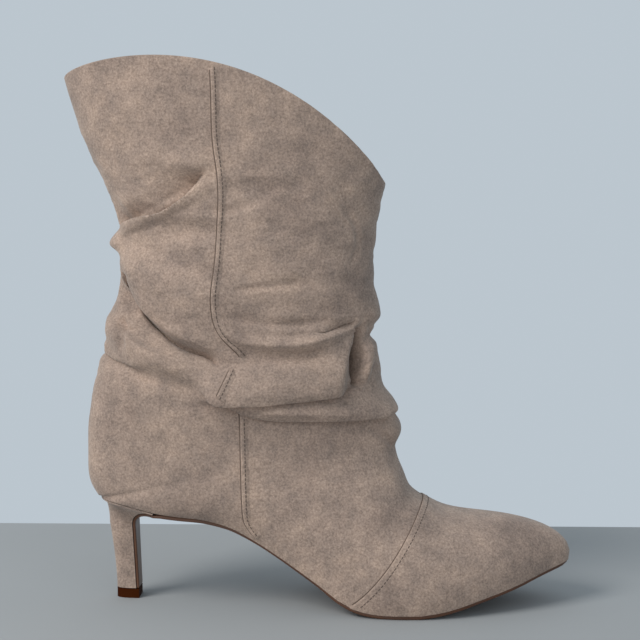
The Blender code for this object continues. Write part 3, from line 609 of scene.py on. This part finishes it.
# Soft creases and ridges, a line each: reach below, reach above and height out, in millimetres
CREASES = (
    # the small ridge over the low roll, and the pocket behind the roll's end
    (1.6, 1.4, 0.6, (0.128, 0.428), (0.155, 0.400), (0.182, 0.376)),
    (3.0, 2.4, -2.4, (0.070, 0.440), (0.089, 0.412), (0.099, 0.380), (0.108, 0.345)),
    # where the low roll sinks into the heel's quarter
    (3.0, 4.0, -0.8, (0.120, 0.320), (0.168, 0.290), (0.203, 0.268), (0.235, 0.262)),
    # the ridge from the tip of the bulge up to the seam, with the hollow above it
    (7.0, 9.0, 2.6,
     (0.050, 0.690), (0.080, 0.698), (0.114, 0.710), (0.158, 0.732), (0.196, 0.778), (0.228, 0.840)),
    # the ridge over the hanging roll and the hollow under it
    (2.2, 3.0, 1.0,
     (0.222, 0.440), (0.240, 0.400), (0.262, 0.380), (0.300, 0.376), (0.340, 0.384), (0.400, 0.424)),
    (3.0, 2.6, -1.0, (0.226, 0.340), (0.254, 0.338), (0.290, 0.348), (0.330, 0.356), (0.372, 0.368)),
    # the top of the hole at the roll's end, and its rim
    (3.5, 3.5, -8.0, (0.406, 0.290), (0.413, 0.330), (0.417, 0.365), (0.419, 0.408)),
    (2.0, 2.0, 0.7, (0.384, 0.290), (0.390, 0.330), (0.394, 0.360), (0.396, 0.392)),
    # soft wrinkles of the front panel and the instep
    (3.0, 3.0, -0.9, (0.405, 0.180), (0.434, 0.152), (0.470, 0.118)),
    (2.6, 2.6, -1.0, (0.238, 0.500), (0.253, 0.506), (0.291, 0.516), (0.340, 0.524)),
    (1.8, 2.2, -0.8, (0.232, 0.452), (0.268, 0.427), (0.311, 0.423), (0.350, 0.430)),
    (3.5, 3.5, -0.8, (0.215, 0.680), (0.258, 0.699), (0.300, 0.745)),
    (2.6, 2.6, -0.9, (0.385, 0.700), (0.415, 0.653), (0.420, 0.595), (0.400, 0.555)),
    (4.0, 4.0, -0.8, (0.330, 0.830), (0.380, 0.790), (0.430, 0.800)),
    # the inner side
    (4.0, 6.0, -1.8, (0.590, 0.540), (0.660, 0.520), (0.740, 0.556), (0.800, 0.600)),
    (5.0, 4.0, -2.0, (0.820, 0.560), (0.880, 0.600), (0.940, 0.668)),
    (4.0, 4.0, 1.4, (0.680, 0.610), (0.760, 0.636), (0.840, 0.700), (0.900, 0.760)),
    (4.0, 7.0, -1.8, (0.700, 0.650), (0.770, 0.676), (0.840, 0.740)),
    (3.0, 4.0, -1.4, (0.560, 0.640), (0.620, 0.690), (0.700, 0.700)),
)
GIRTH = 0.225  # round the shaft
LAP_BAND = 0.0006  # a lip turns under over this far on each side of its line
LAP_FADE = 0.12  # a lap grows over this share of its line at each end
CREASE_FADE = 0.20  # and a crease over this share
LINE_STEPS = 6  # between two corners of a line

# Wrinkles: how much flatter than wide they are, their size, their place in the noise and their depth
SLACK_WRINKLES = ((2.2, 0.021, 3.1, 0.0009), (3.0, 0.009, 8.2, 0.0003))
WRINKLES_OF_ALL = ((1.0, 0.030, 5.7, 0.0004),)


def near_line(turn, height, corners, reach):
    """Points within reach of a line, each with its signed distance, share along and way to the high side."""
    seat = SOLE_LEVEL + HEEL_HEIGHT
    corners = np.array(corners) * [GIRTH, COLLAR_BACK_HEIGHT - seat]
    at = np.linspace(0, len(corners) - 1, LINE_STEPS * (len(corners) - 1) + 1)
    line = np.stack([smooth_curve(corners[:, 0], at), smooth_curve(corners[:, 1], at)], -1)
    for laps in (0, 1):
        places = np.stack([(turn - laps) * GIRTH, height - seat], -1)
        near = np.all((places > line.min(0) - reach) & (places < line.max(0) + reach), -1)
        if not near.any():
            continue
        place = places[near]
        off = np.full(len(place), np.inf)
        share = np.zeros(len(place))
        way = np.zeros((len(place), 2))
        for number, (start, end) in enumerate(zip(line[:-1], line[1:])):
            run = end - start
            along = np.clip((place - start) @ run / (run @ run), 0, 1)
            gap = place - start - along[:, None] * run
            distance = np.hypot(gap[:, 0], gap[:, 1])
            square = np.array([-run[1], run[0]]) / np.hypot(*run)
            closer = distance < np.abs(off)
            off = np.where(closer, np.copysign(distance, gap @ square), off)
            share = np.where(closer, (number + along) / (len(line) - 1), share)
            way = np.where(closer[:, None], square, way)
        yield near, off, share, way


def end_fade(share, length):
    """From 0 at both ends of a line to 1 between them."""
    return ease(share / length) * ease((1 - share) / length)


def wrinkles(turn, height, kinds):
    return sum(depth * unevenness(turn, height * flat, size, seed) for flat, size, seed, depth in kinds)


def small_shifts(turn, height):
    """Out, around and up: how far the laps, creases and small wrinkles of soft suede push each point."""
    slack = ease((height - ANKLE_TOP) / 0.03) * ease((COLLAR_BACK_HEIGHT - height) / 0.05 + 0.1)
    out = wrinkles(turn, height, SLACK_WRINKLES) * slack
    out += wrinkles(turn, height, WRINKLES_OF_ALL) * ease((height - 0.03) / 0.03)
    slide = np.zeros((*turn.shape, 2))
    for below, above, rise, *corners in CREASES:
        for near, off, share, way in near_line(turn, height, corners, max(below, above) / 1000):
            reach = np.where(off > 0, above, below) / 1000
            hump = np.clip(1 - (off / reach) ** 2, 0, 1) ** 2
            out[near] += rise / 1000 * hump * end_fade(share, CREASE_FADE)
    for side, lip_reach, lip_out, lip_slide, under_reach, depth, *corners in LAPS:
        for near, off, share, way in near_line(turn, height, corners, max(lip_reach, under_reach) / 1000):
            if side == "low":
                off, way = -off, -way
            lip = np.clip(1 - off / lip_reach * 1000, 0, 1) ** 2
            under = np.clip(1 + off / under_reach * 1000, 0, 1) ** 2
            over = ease((off + LAP_BAND) / (2 * LAP_BAND))
            fade = end_fade(share, LAP_FADE)
            sunk = -depth * np.where(off < 0, under, 1)
            raised = lip_out * np.where(off > 0, lip, 1)
            out[near] += blend(sunk, raised, over) / 1000 * fade
            slide[near] -= way * (lip_slide / 1000 * np.where(off > 0, lip, 1) * over * fade)[:, None]
    return out, slide[..., 0], slide[..., 1]


def fine_face(row, across):
    """The outer face on a grid with its small folds, and the lining, which stays behind all of them."""
    point = upper_point(row, across)
    base, turn = base_point(row, across)
    normal = face_normals(lambda rows, places: base_point(rows, places)[0], row, across)
    out, around, up = small_shifts(turn, base[..., 2])
    upward = np.array([0, 0, 1.0]) - normal * normal[..., 2:]
    upward = upward / np.maximum(np.linalg.norm(upward, axis=-1, keepdims=True), 1e-9)
    onward = np.cross(upward, normal)
    lining = point + (np.minimum(out, 0) - WALL)[..., None] * normal
    return point + out[..., None] * normal + around[..., None] * onward + up[..., None] * upward, lining


def grid_normals(points):
    """Unit normals of a grid of points, out of the boot."""
    along = np.gradient(points, axis=0)
    around = np.gradient(points, axis=1)
    normal = np.cross(around, along)
    return normal / np.maximum(np.linalg.norm(normal, axis=-1, keepdims=True), 1e-12)


def grid_object(name, points, material, wrap=None, flip=False):
    """A smooth sheet from a grid of points. Rows from wrap on join their two sides."""
    rows, count = points.shape[:2]
    numbers = np.arange(rows * count).reshape(rows, count)
    if wrap is not None:
        numbers[wrap:, -1] = numbers[wrap:, 0]
    faces = []
    for i in range(rows - 1):
        for j in range(count - 1):
            corners = [numbers[i, j], numbers[i, j + 1], numbers[i + 1, j + 1], numbers[i + 1, j]]
            faces.append(corners[::-1] if flip else corners)
    return shape_object(name, points.reshape(-1, 3), tidy_faces(faces), material)


def fine_rows():
    """Rows of the fine upper, closest where the shaft is folded."""
    stretches = (
        (0, TOE_SEAM_ROW - STEP_ROWS, 26),
        (TOE_SEAM_ROW - STEP_ROWS, TOE_SEAM_ROW + STEP_ROWS, 6),
        (TOE_SEAM_ROW + STEP_ROWS, LAST_FOOT_ROW, 38),
        (LAST_FOOT_ROW, LAST_FOOT_ROW + 1.5, 12),
        (LAST_FOOT_ROW + 1.5, LAST_FOOT_ROW + 7.2, 116),
        (LAST_FOOT_ROW + 7.2, LAST_FOOT_ROW + 8.8, 24),
        (LAST_FOOT_ROW + 8.8, LAST_FOOT_ROW + 10.6, 62),
        (LAST_FOOT_ROW + 10.6, LAST_ROW, 16),
    )
    rows = [np.linspace(start, end, count, endpoint=False) for start, end, count in stretches]
    return np.concatenate([*rows, [LAST_ROW]])


def make_fine_upper(suede, lining_material):
    """The suede with its rolled top edge, the lining at half its fineness, and the edges that join them."""
    rows = fine_rows()
    columns = np.linspace(-1, 1, 2 * FINE_HALF_COLUMNS + 1)
    row, across = np.meshgrid(rows, columns, indexing="ij")
    near_seam = ease(1 - np.abs(row - TOE_SEAM_ROW) / SEAM_SPREAD_ROWS)
    row = row + (toe_seam_row(across) - TOE_SEAM_ROW) * near_seam
    first_ring = int(np.argmax(rows > LAST_FOOT_ROW - 1e-6))
    behind_toe = row + TOE_LINING_ROWS * np.clip(1 - row / 2, 0, 1) ** 2
    face, _ = fine_face(row, across)
    _, lining = fine_face(behind_toe, across)
    for edge in (0, -1):
        lining[:first_ring, edge, 2] = sole_height(lining[:first_ring, edge, 0])
    normal = grid_normals(face[-3:])[-1]
    rise = face[-1] - face[-2]
    rise = rise / np.linalg.norm(rise, axis=-1, keepdims=True)
    middle = face[-1] - normal * WALL / 2
    rim = [
        middle + WALL / 2 * (math.cos(turned) * normal + math.sin(turned) * rise)
        for turned in np.linspace(0, np.pi, 9)[1:]
    ]
    facing = [lining[k] for k in range(len(rows) - 2, len(rows) - 5, -1)]
    pieces = [grid_object("suede_upper", np.concatenate([face, rim, facing]), suede, wrap=first_ring)]
    shown = [*range(0, first_ring, 2), *range(first_ring, len(rows) - 3, 2)]
    inside = lining[shown, ::2]
    pieces.append(grid_object("lining", inside, lining_material, wrap=shown.index(first_ring), flip=True))
    outer_edge = np.concatenate([face[first_ring::-1, 0], face[: first_ring + 1, -1]])
    inner_edge = np.concatenate([lining[first_ring::-1, 0], lining[: first_ring + 1, -1]])
    pieces.append(grid_object("lasting_edge", np.array([outer_edge, inner_edge]), suede))
    half = FINE_HALF_COLUMNS + 1
    pieces.append(grid_object("toe_nose", np.array([face[0, :half], face[0, ::-1][:half]]), suede))
    return pieces


def surface_tree(pieces):
    """A tree to drop points onto the finished suede."""
    points, faces = [], []
    for piece in pieces:
        start = len(points)
        points += [vertex.co.copy() for vertex in piece.data.vertices]
        faces += [[start + corner for corner in face.vertices] for face in piece.data.polygons]
    return BVHTree.FromPolygons(points, faces)


def path_through(corners, step):
    """Evenly spaced points along a smooth line through corners seen from the side, as x and z."""
    corners = np.array(corners, float)
    at = np.linspace(0, len(corners) - 1, 40 * len(corners))
    line = np.stack([smooth_curve(corners[:, 0], at), smooth_curve(corners[:, 1], at)], -1)
    length = np.concatenate([[0], np.cumsum(np.linalg.norm(np.diff(line, axis=0), axis=1))])
    places = np.arange(0, length[-1], step)
    return np.stack([np.interp(places, length, line[:, 0]), np.interp(places, length, line[:, 1])], -1)


def drop(tree, line, side):
    """Points and normals where a side view's line meets the outer face; side is -1 outside and 1 inside."""
    found = []
    for x, z in line:
        hit, normal, _, _ = tree.ray_cast(Vector((x, side * 0.2, z)), Vector((0, -side, 0)))
        if hit is not None:
            found.append((np.array(hit), np.array(normal if normal.y * side > 0 else -normal)))
    return found


def strip(name, track, material, profile, flip=1):
    """A narrow sheet along a track: its profile gives places across and heights, both in metres."""
    points = np.array([place for place, _ in track])
    normal = np.array([up for _, up in track])
    for _ in range(6):
        normal[1:-1] = (normal[:-2] + 2 * normal[1:-1] + normal[2:]) / 4
    for _ in range(3):
        points[1:-1] = (points[:-2] + 2 * points[1:-1] + points[2:]) / 4
    normal = normal / np.linalg.norm(normal, axis=-1, keepdims=True)
    across = np.cross(np.gradient(points, axis=0), normal) * flip
    across = across / np.linalg.norm(across, axis=-1, keepdims=True)
    fade = ease(np.minimum(np.arange(len(points)), np.arange(len(points))[::-1]) / 5)[:, None]
    sink = (fade - 1) * SEAM_STEP
    sheets = [points + across * place + normal * (tall * fade + sink) for place, tall in profile]
    return grid_object(name, np.array(sheets), material)


def stitches(name, places, normals, along, material, length=0.0017, width=0.00055):
    """A row of short thread stitches lying on the surface."""
    points, faces = [], []
    for place, up, forward in zip(places, normals, along):
        forward = forward / np.linalg.norm(forward)
        side = np.cross(up, forward)
        side = side / np.linalg.norm(side)
        start = len(points)
        for share, swell in ((-0.5, 0.25), (-0.28, 0.9), (0.28, 0.9), (0.5, 0.25)):
            for turned in np.arange(6) * np.pi / 3:
                around = side * math.cos(turned) + up * math.sin(turned) / THREAD_FLATNESS
                points.append(place + forward * length * share + around * width / 2 * swell + up * THREAD_LIFT)
        for ring in range(3):
            for k in range(6):
                a, b = start + ring * 6 + k, start + ring * 6 + (k + 1) % 6
                faces.append((a, b, b + 6, a + 6))
        faces.append(tuple(start + k for k in range(6))[::-1])
        faces.append(tuple(start + 18 + k for k in range(6)))
    return shape_object(name, points, faces, material)


def stitch_row(name, points, normals, material, pitch, **sizes):
    """Stitches at an even pitch along a line of points."""
    length = np.concatenate([[0], np.cumsum(np.linalg.norm(np.diff(points, axis=0), axis=1))])
    at = np.arange(pitch, length[-1] - pitch, pitch)
    places, ups, forward = (
        np.stack([np.interp(at, length, values[:, k]) for k in range(3)], -1)
        for values in (points, normals, np.gradient(points, axis=0))
    )
    return stitches(name, places, ups, forward, material, **sizes)


def seam_stitches(name, track, tree, material, flip):
    """Stitches beside a side seam, laid on the suede."""
    places = np.array([place for place, _ in track])
    normals = np.array([up for _, up in track])
    across = np.cross(np.gradient(places, axis=0), normals) * flip
    across = across / np.linalg.norm(across, axis=-1, keepdims=True)
    laid = [tree.find_nearest(Vector(place))[0] for place in places + across * SEAM_MARGIN]
    return stitch_row(name, np.array(laid) + normals * LAP_HEIGHT * 0.75, normals, material, STITCH_PITCH)


# The side seams, front panel over back panel, as x and z seen from the side in shares of the collar's
# back height
OUTER_SEAM = (
    ((0.1775, 1.0160), (0.1800, 0.9500), (0.1820, 0.8805), (0.1895, 0.8250), (0.1920, 0.7700), (0.1890, 0.7150),
     (0.1855, 0.6620), (0.1790, 0.6070), (0.1790, 0.5700), (0.1835, 0.5450), (0.1935, 0.5250), (0.2080, 0.5080),
     (0.2270, 0.4890), (0.2330, 0.4760)),
    ((0.2140, 0.4680), (0.2060, 0.4500), (0.1960, 0.4290), (0.1840, 0.4040)),
    ((0.2280, 0.3850), (0.2290, 0.3300), (0.2300, 0.2600), (0.2320, 0.2000), (0.2380, 0.1650),
     (0.2620, 0.1320)),
)
INNER_SEAM = (
    ((0.1775, 1.0160), (0.1830, 0.8800), (0.1900, 0.7600), (0.1950, 0.6500), (0.2050, 0.5300)),
    ((0.2200, 0.3600), (0.2290, 0.2900), (0.2330, 0.2000), (0.2400, 0.1600)),
)
# Across a seam: the lap rises steeply at its edge and sinks back into the panel; beside it a narrow dark strip
# is painted shadow, standing for the shade in the gap under the lap's edge
LAP = ((-0.0002, -0.0004), (-0.0001, 0.0003), (0.0001, 0.0008), (0.0006, 0.0010), (0.0016, 0.0008),
       (0.0030, 0.0004), (0.0048, -0.0004))
SEAM_SHADOW = ((-0.0009, -0.0002), (-0.0006, 0.00018), (-0.0002, 0.00018), (0.0, -0.0002))


def make_seams(tree, suede, thread, shade):
    """The laps, painted seam shadows and stitches of the two side seams and of the toe piece."""
    made = []
    for side, label, seam in ((-1, "outer", OUTER_SEAM), (1, "inner", INNER_SEAM)):
        for number, corners in enumerate(seam):
            line = path_through(np.array(corners) * COLLAR_BACK_HEIGHT, 0.0007)
            track = drop(tree, line, side)
            flip = side
            made.append(strip(f"{label}_lap_{number}", track, suede, LAP, flip))
            # a narrow dark strip beside the lap: painted shadow of the gap under the lap's edge
            made.append(strip(f"{label}_seam_shadow_{number}", track, shade, SEAM_SHADOW, flip))
            made.append(seam_stitches(f"{label}_stitches_{number}", track[::3], tree, thread, flip))
    across = np.linspace(-0.985, 0.985, 900)
    row = toe_seam_row(across) - STEP_ROWS
    place = upper_point(row, across)
    ahead = upper_point(row - 0.1, across)
    back_by = 0.1 * SEAM_MARGIN / np.linalg.norm(ahead - place, axis=-1)
    normal = face_normals(upper_point, row - back_by, across)
    line = [tree.find_nearest(Vector(point))[0] for point in upper_point(row - back_by, across)]
    made.append(stitch_row("toe_stitches", np.array(line), normal, thread, STITCH_PITCH))
    edge = toe_seam_row(across) + STEP_ROWS * 0.6
    edge_line = [tree.find_nearest(Vector(point))[0] for point in upper_point(edge, across)]
    track = list(zip(np.array(edge_line), face_normals(upper_point, edge, across)))
    # the same painted shadow strip beside the toe piece's edge
    made.append(strip("toe_seam_shadow", track, shade, [(place + 0.0003, tall) for place, tall in SEAM_SHADOW], -1))
    return made


# Materials


def new_material(name):
    material = bpy.data.materials.new(name)
    material.use_nodes = True
    nodes = material.node_tree.nodes
    return material, nodes, material.node_tree.links, nodes["Principled BSDF"]


def add_noise(nodes, links, coordinates, scale, detail=4.0, rough=0.55):
    texture = nodes.new("ShaderNodeTexNoise")
    texture.inputs["Scale"].default_value = scale
    texture.inputs["Detail"].default_value = detail
    texture.inputs["Roughness"].default_value = rough
    links.new(coordinates, texture.inputs["Vector"])
    return texture.outputs["Fac"]


def add_ramp(nodes, links, value, stops):
    ramp = nodes.new("ShaderNodeValToRGB")
    links.new(value, ramp.inputs["Fac"])
    elements = ramp.color_ramp.elements
    while len(elements) < len(stops):
        elements.new(0.5)
    for element, (place, colour) in zip(elements, stops):
        element.position = place
        element.color = (*colour, 1)
    return ramp.outputs["Color"]


def add_mix(nodes, links, kind, factor, a, b):
    mix = nodes.new("ShaderNodeMix")
    mix.data_type = "RGBA"
    mix.blend_type = kind
    if isinstance(factor, float):
        mix.inputs["Factor"].default_value = factor
    else:
        links.new(factor, mix.inputs["Factor"])
    links.new(a, mix.inputs["A"])
    links.new(b, mix.inputs["B"])
    return mix.outputs["Result"]


def suede_material():
    """Brushed suede: a soft nap, patches where it lies another way, and a faint grain."""
    material, nodes, links, shader = new_material("suede nap")
    place = nodes.new("ShaderNodeTexCoord").outputs["Object"]
    patches = add_noise(nodes, links, place, 26.0, 5.0, 0.62)
    brushed = add_noise(nodes, links, place, 95.0, 6.0, 0.65)
    grain = add_noise(nodes, links, place, 900.0, 3.0, 0.7)
    nap = add_noise(nodes, links, place, 2600.0, 2.0, 0.7)
    tones = [(0.30, (0.265, 0.203, 0.170)), (0.50, (0.345, 0.265, 0.218)), (0.72, (0.415, 0.312, 0.248))]
    body = add_ramp(nodes, links, patches, tones)
    strokes = add_ramp(nodes, links, brushed, [(0.28, (0.74, 0.75, 0.77)), (0.72, (1.22, 1.19, 1.16))])
    specks = add_ramp(nodes, links, grain, [(0.28, (0.62, 0.61, 0.60)), (0.72, (1.32, 1.32, 1.32))])
    colour = add_mix(nodes, links, "MULTIPLY", 1.0, body, strokes)
    colour = add_mix(nodes, links, "MULTIPLY", 1.0, colour, specks)
    links.new(colour, shader.inputs["Base Color"])
    shader.inputs["Roughness"].default_value = 0.95
    shader.inputs["Specular IOR Level"].default_value = 0.15
    shader.inputs["Sheen Weight"].default_value = 0.25
    shader.inputs["Sheen Roughness"].default_value = 0.45
    shader.inputs["Sheen Tint"].default_value = (1.0, 0.93, 0.87, 1)
    fine = nodes.new("ShaderNodeBump")
    fine.inputs["Strength"].default_value = 0.55
    fine.inputs["Distance"].default_value = 0.0004
    links.new(nap, fine.inputs["Height"])
    soft = nodes.new("ShaderNodeBump")
    soft.inputs["Strength"].default_value = 0.5
    soft.inputs["Distance"].default_value = 0.0012
    links.new(brushed, soft.inputs["Height"])
    links.new(fine.outputs["Normal"], soft.inputs["Normal"])
    links.new(soft.outputs["Normal"], shader.inputs["Normal"])
    return material


def leather_material(name, dark, light, roughness, coat=0.0, gloss=0.5):
    material, nodes, links, shader = new_material(name)
    place = nodes.new("ShaderNodeTexCoord").outputs["Object"]
    tone = add_noise(nodes, links, place, 60.0, 5.0)
    pores = add_noise(nodes, links, place, 1400.0, 2.0)
    links.new(add_ramp(nodes, links, tone, [(0.3, dark), (0.7, light)]), shader.inputs["Base Color"])
    shader.inputs["Roughness"].default_value = roughness
    shader.inputs["Specular IOR Level"].default_value = gloss
    shader.inputs["Coat Weight"].default_value = coat
    shader.inputs["Coat Roughness"].default_value = 0.3
    bump = nodes.new("ShaderNodeBump")
    bump.inputs["Strength"].default_value = 0.25
    bump.inputs["Distance"].default_value = 0.0003
    links.new(pores, bump.inputs["Height"])
    links.new(bump.outputs["Normal"], shader.inputs["Normal"])
    return material


def floor_material():
    material, nodes, links, shader = new_material("pale floor")
    place = nodes.new("ShaderNodeTexCoord").outputs["Object"]
    tone = add_noise(nodes, links, place, 3.0, 3.0)
    tones = [(0.2, (0.305, 0.318, 0.323)), (0.8, (0.35, 0.363, 0.368))]
    links.new(add_ramp(nodes, links, tone, tones), shader.inputs["Base Color"])
    shader.inputs["Roughness"].default_value = 0.85
    return material


def soften(piece, width):
    """Rounds a piece's hard edges."""
    bevel = piece.modifiers.new("edge", "BEVEL")
    bevel.width = width
    bevel.segments = 3
    bevel.limit_method = "ANGLE"
    bevel.angle_limit = math.radians(40)
    return piece


def add_light(name, place, target, size, power, colour):
    light = bpy.data.lights.new(name, "AREA")
    light.shape = "RECTANGLE"
    light.size, light.size_y = size
    light.energy = power
    light.color = colour
    lamp = bpy.data.objects.new(name, light)
    lamp.location = place
    lamp.rotation_euler = (Vector(target) - Vector(place)).to_track_quat("-Z", "Y").to_euler()
    bpy.context.scene.collection.objects.link(lamp)


# Soft boxes: name, place, target, size, power and colour
LIGHTS = (
    ("key", (-1.12, -0.86, 1.45), (0.08, 0, 0.10), (0.9, 0.9), 26.0, (1.0, 0.97, 0.94)),
    ("low_fill", (-0.25, -1.0, 0.08), (0.06, 0, 0.04), (1.2, 0.4), 4.2, (1.0, 0.95, 0.90)),
)
# The camera, at the photo's viewing angle
CAMERA_PLACE = (0.12327, -0.73440, 0.21260)
CAMERA_DOWN = 4.92  # degrees below level
CAMERA_ASIDE = 1.6  # degrees to the left
CAMERA_LENS = 78.36


def set_stage():
    """The floor, the sky and the lights."""
    mesh = bpy.data.meshes.new("floor")
    mesh.from_pydata([(-4, -3, 0), (4, -3, 0), (4, FLOOR_END, 0), (-4, FLOOR_END, 0)], [], [(0, 1, 2, 3)])
    mesh.materials.append(floor_material())
    floor = bpy.data.objects.new("floor", mesh)
    bpy.context.scene.collection.objects.link(floor)
    world = bpy.data.worlds.new("studio")
    bpy.context.scene.world = world
    world.use_nodes = True
    background = world.node_tree.nodes["Background"]
    background.inputs["Color"].default_value = (0.50, 0.565, 0.62, 1)
    background.inputs["Strength"].default_value = 1.0
    for light in LIGHTS:
        add_light(*light)


def set_camera():
    data = bpy.data.cameras.new("camera")
    data.sensor_width = 36
    data.lens = CAMERA_LENS
    camera = bpy.data.objects.new("camera", data)
    camera.location = CAMERA_PLACE
    camera.rotation_euler = (math.radians(90 - CAMERA_DOWN), 0, math.radians(CAMERA_ASIDE))
    bpy.context.scene.collection.objects.link(camera)
    bpy.context.scene.camera = camera


def main():
    suede = suede_material()
    thread = leather_material("thread", (0.085, 0.062, 0.050), (0.12, 0.088, 0.07), 0.8)
    # painted seam shadow: a dark brown standing for the shade in the gaps beside the seam laps, not a colour of
    # the suede
    shade = leather_material("painted seam shadow", (0.10, 0.070, 0.052), (0.14, 0.10, 0.078), 0.9)
    sole_leather = leather_material("sole leather", (0.070, 0.024, 0.008), (0.115, 0.042, 0.015), 0.45, 0.2)
    tip_tones = ((0.032, 0.006, 0.0005), (0.045, 0.010, 0.001))
    lift_rubber = leather_material("heel tip rubber", *tip_tones, 0.6, gloss=0.04)
    lining_leather = leather_material("lining leather", (0.40, 0.31, 0.235), (0.47, 0.375, 0.29), 0.75)
    pieces = make_fine_upper(suede, lining_leather)
    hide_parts("upper")
    pieces += make_seams(surface_tree(pieces[:1]), suede, thread, shade)
    insole = make_insole(lining_leather)
    outsole = soften(make_outsole(sole_leather), 0.0005)
    heel = make_heel(suede)
    lift = soften(make_top_lift(lift_rubber), 0.0004)
    for piece, node in ((insole, "insole"), (outsole, "outsole"), (heel, "heel"), (lift, "top_lift")):
        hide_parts(node)
    for piece in [*pieces, insole, outsole, heel, lift]:
        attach(piece, "root")
    set_stage()
    set_camera()
    bpy.context.scene.view_settings.view_transform = "Standard"


main()
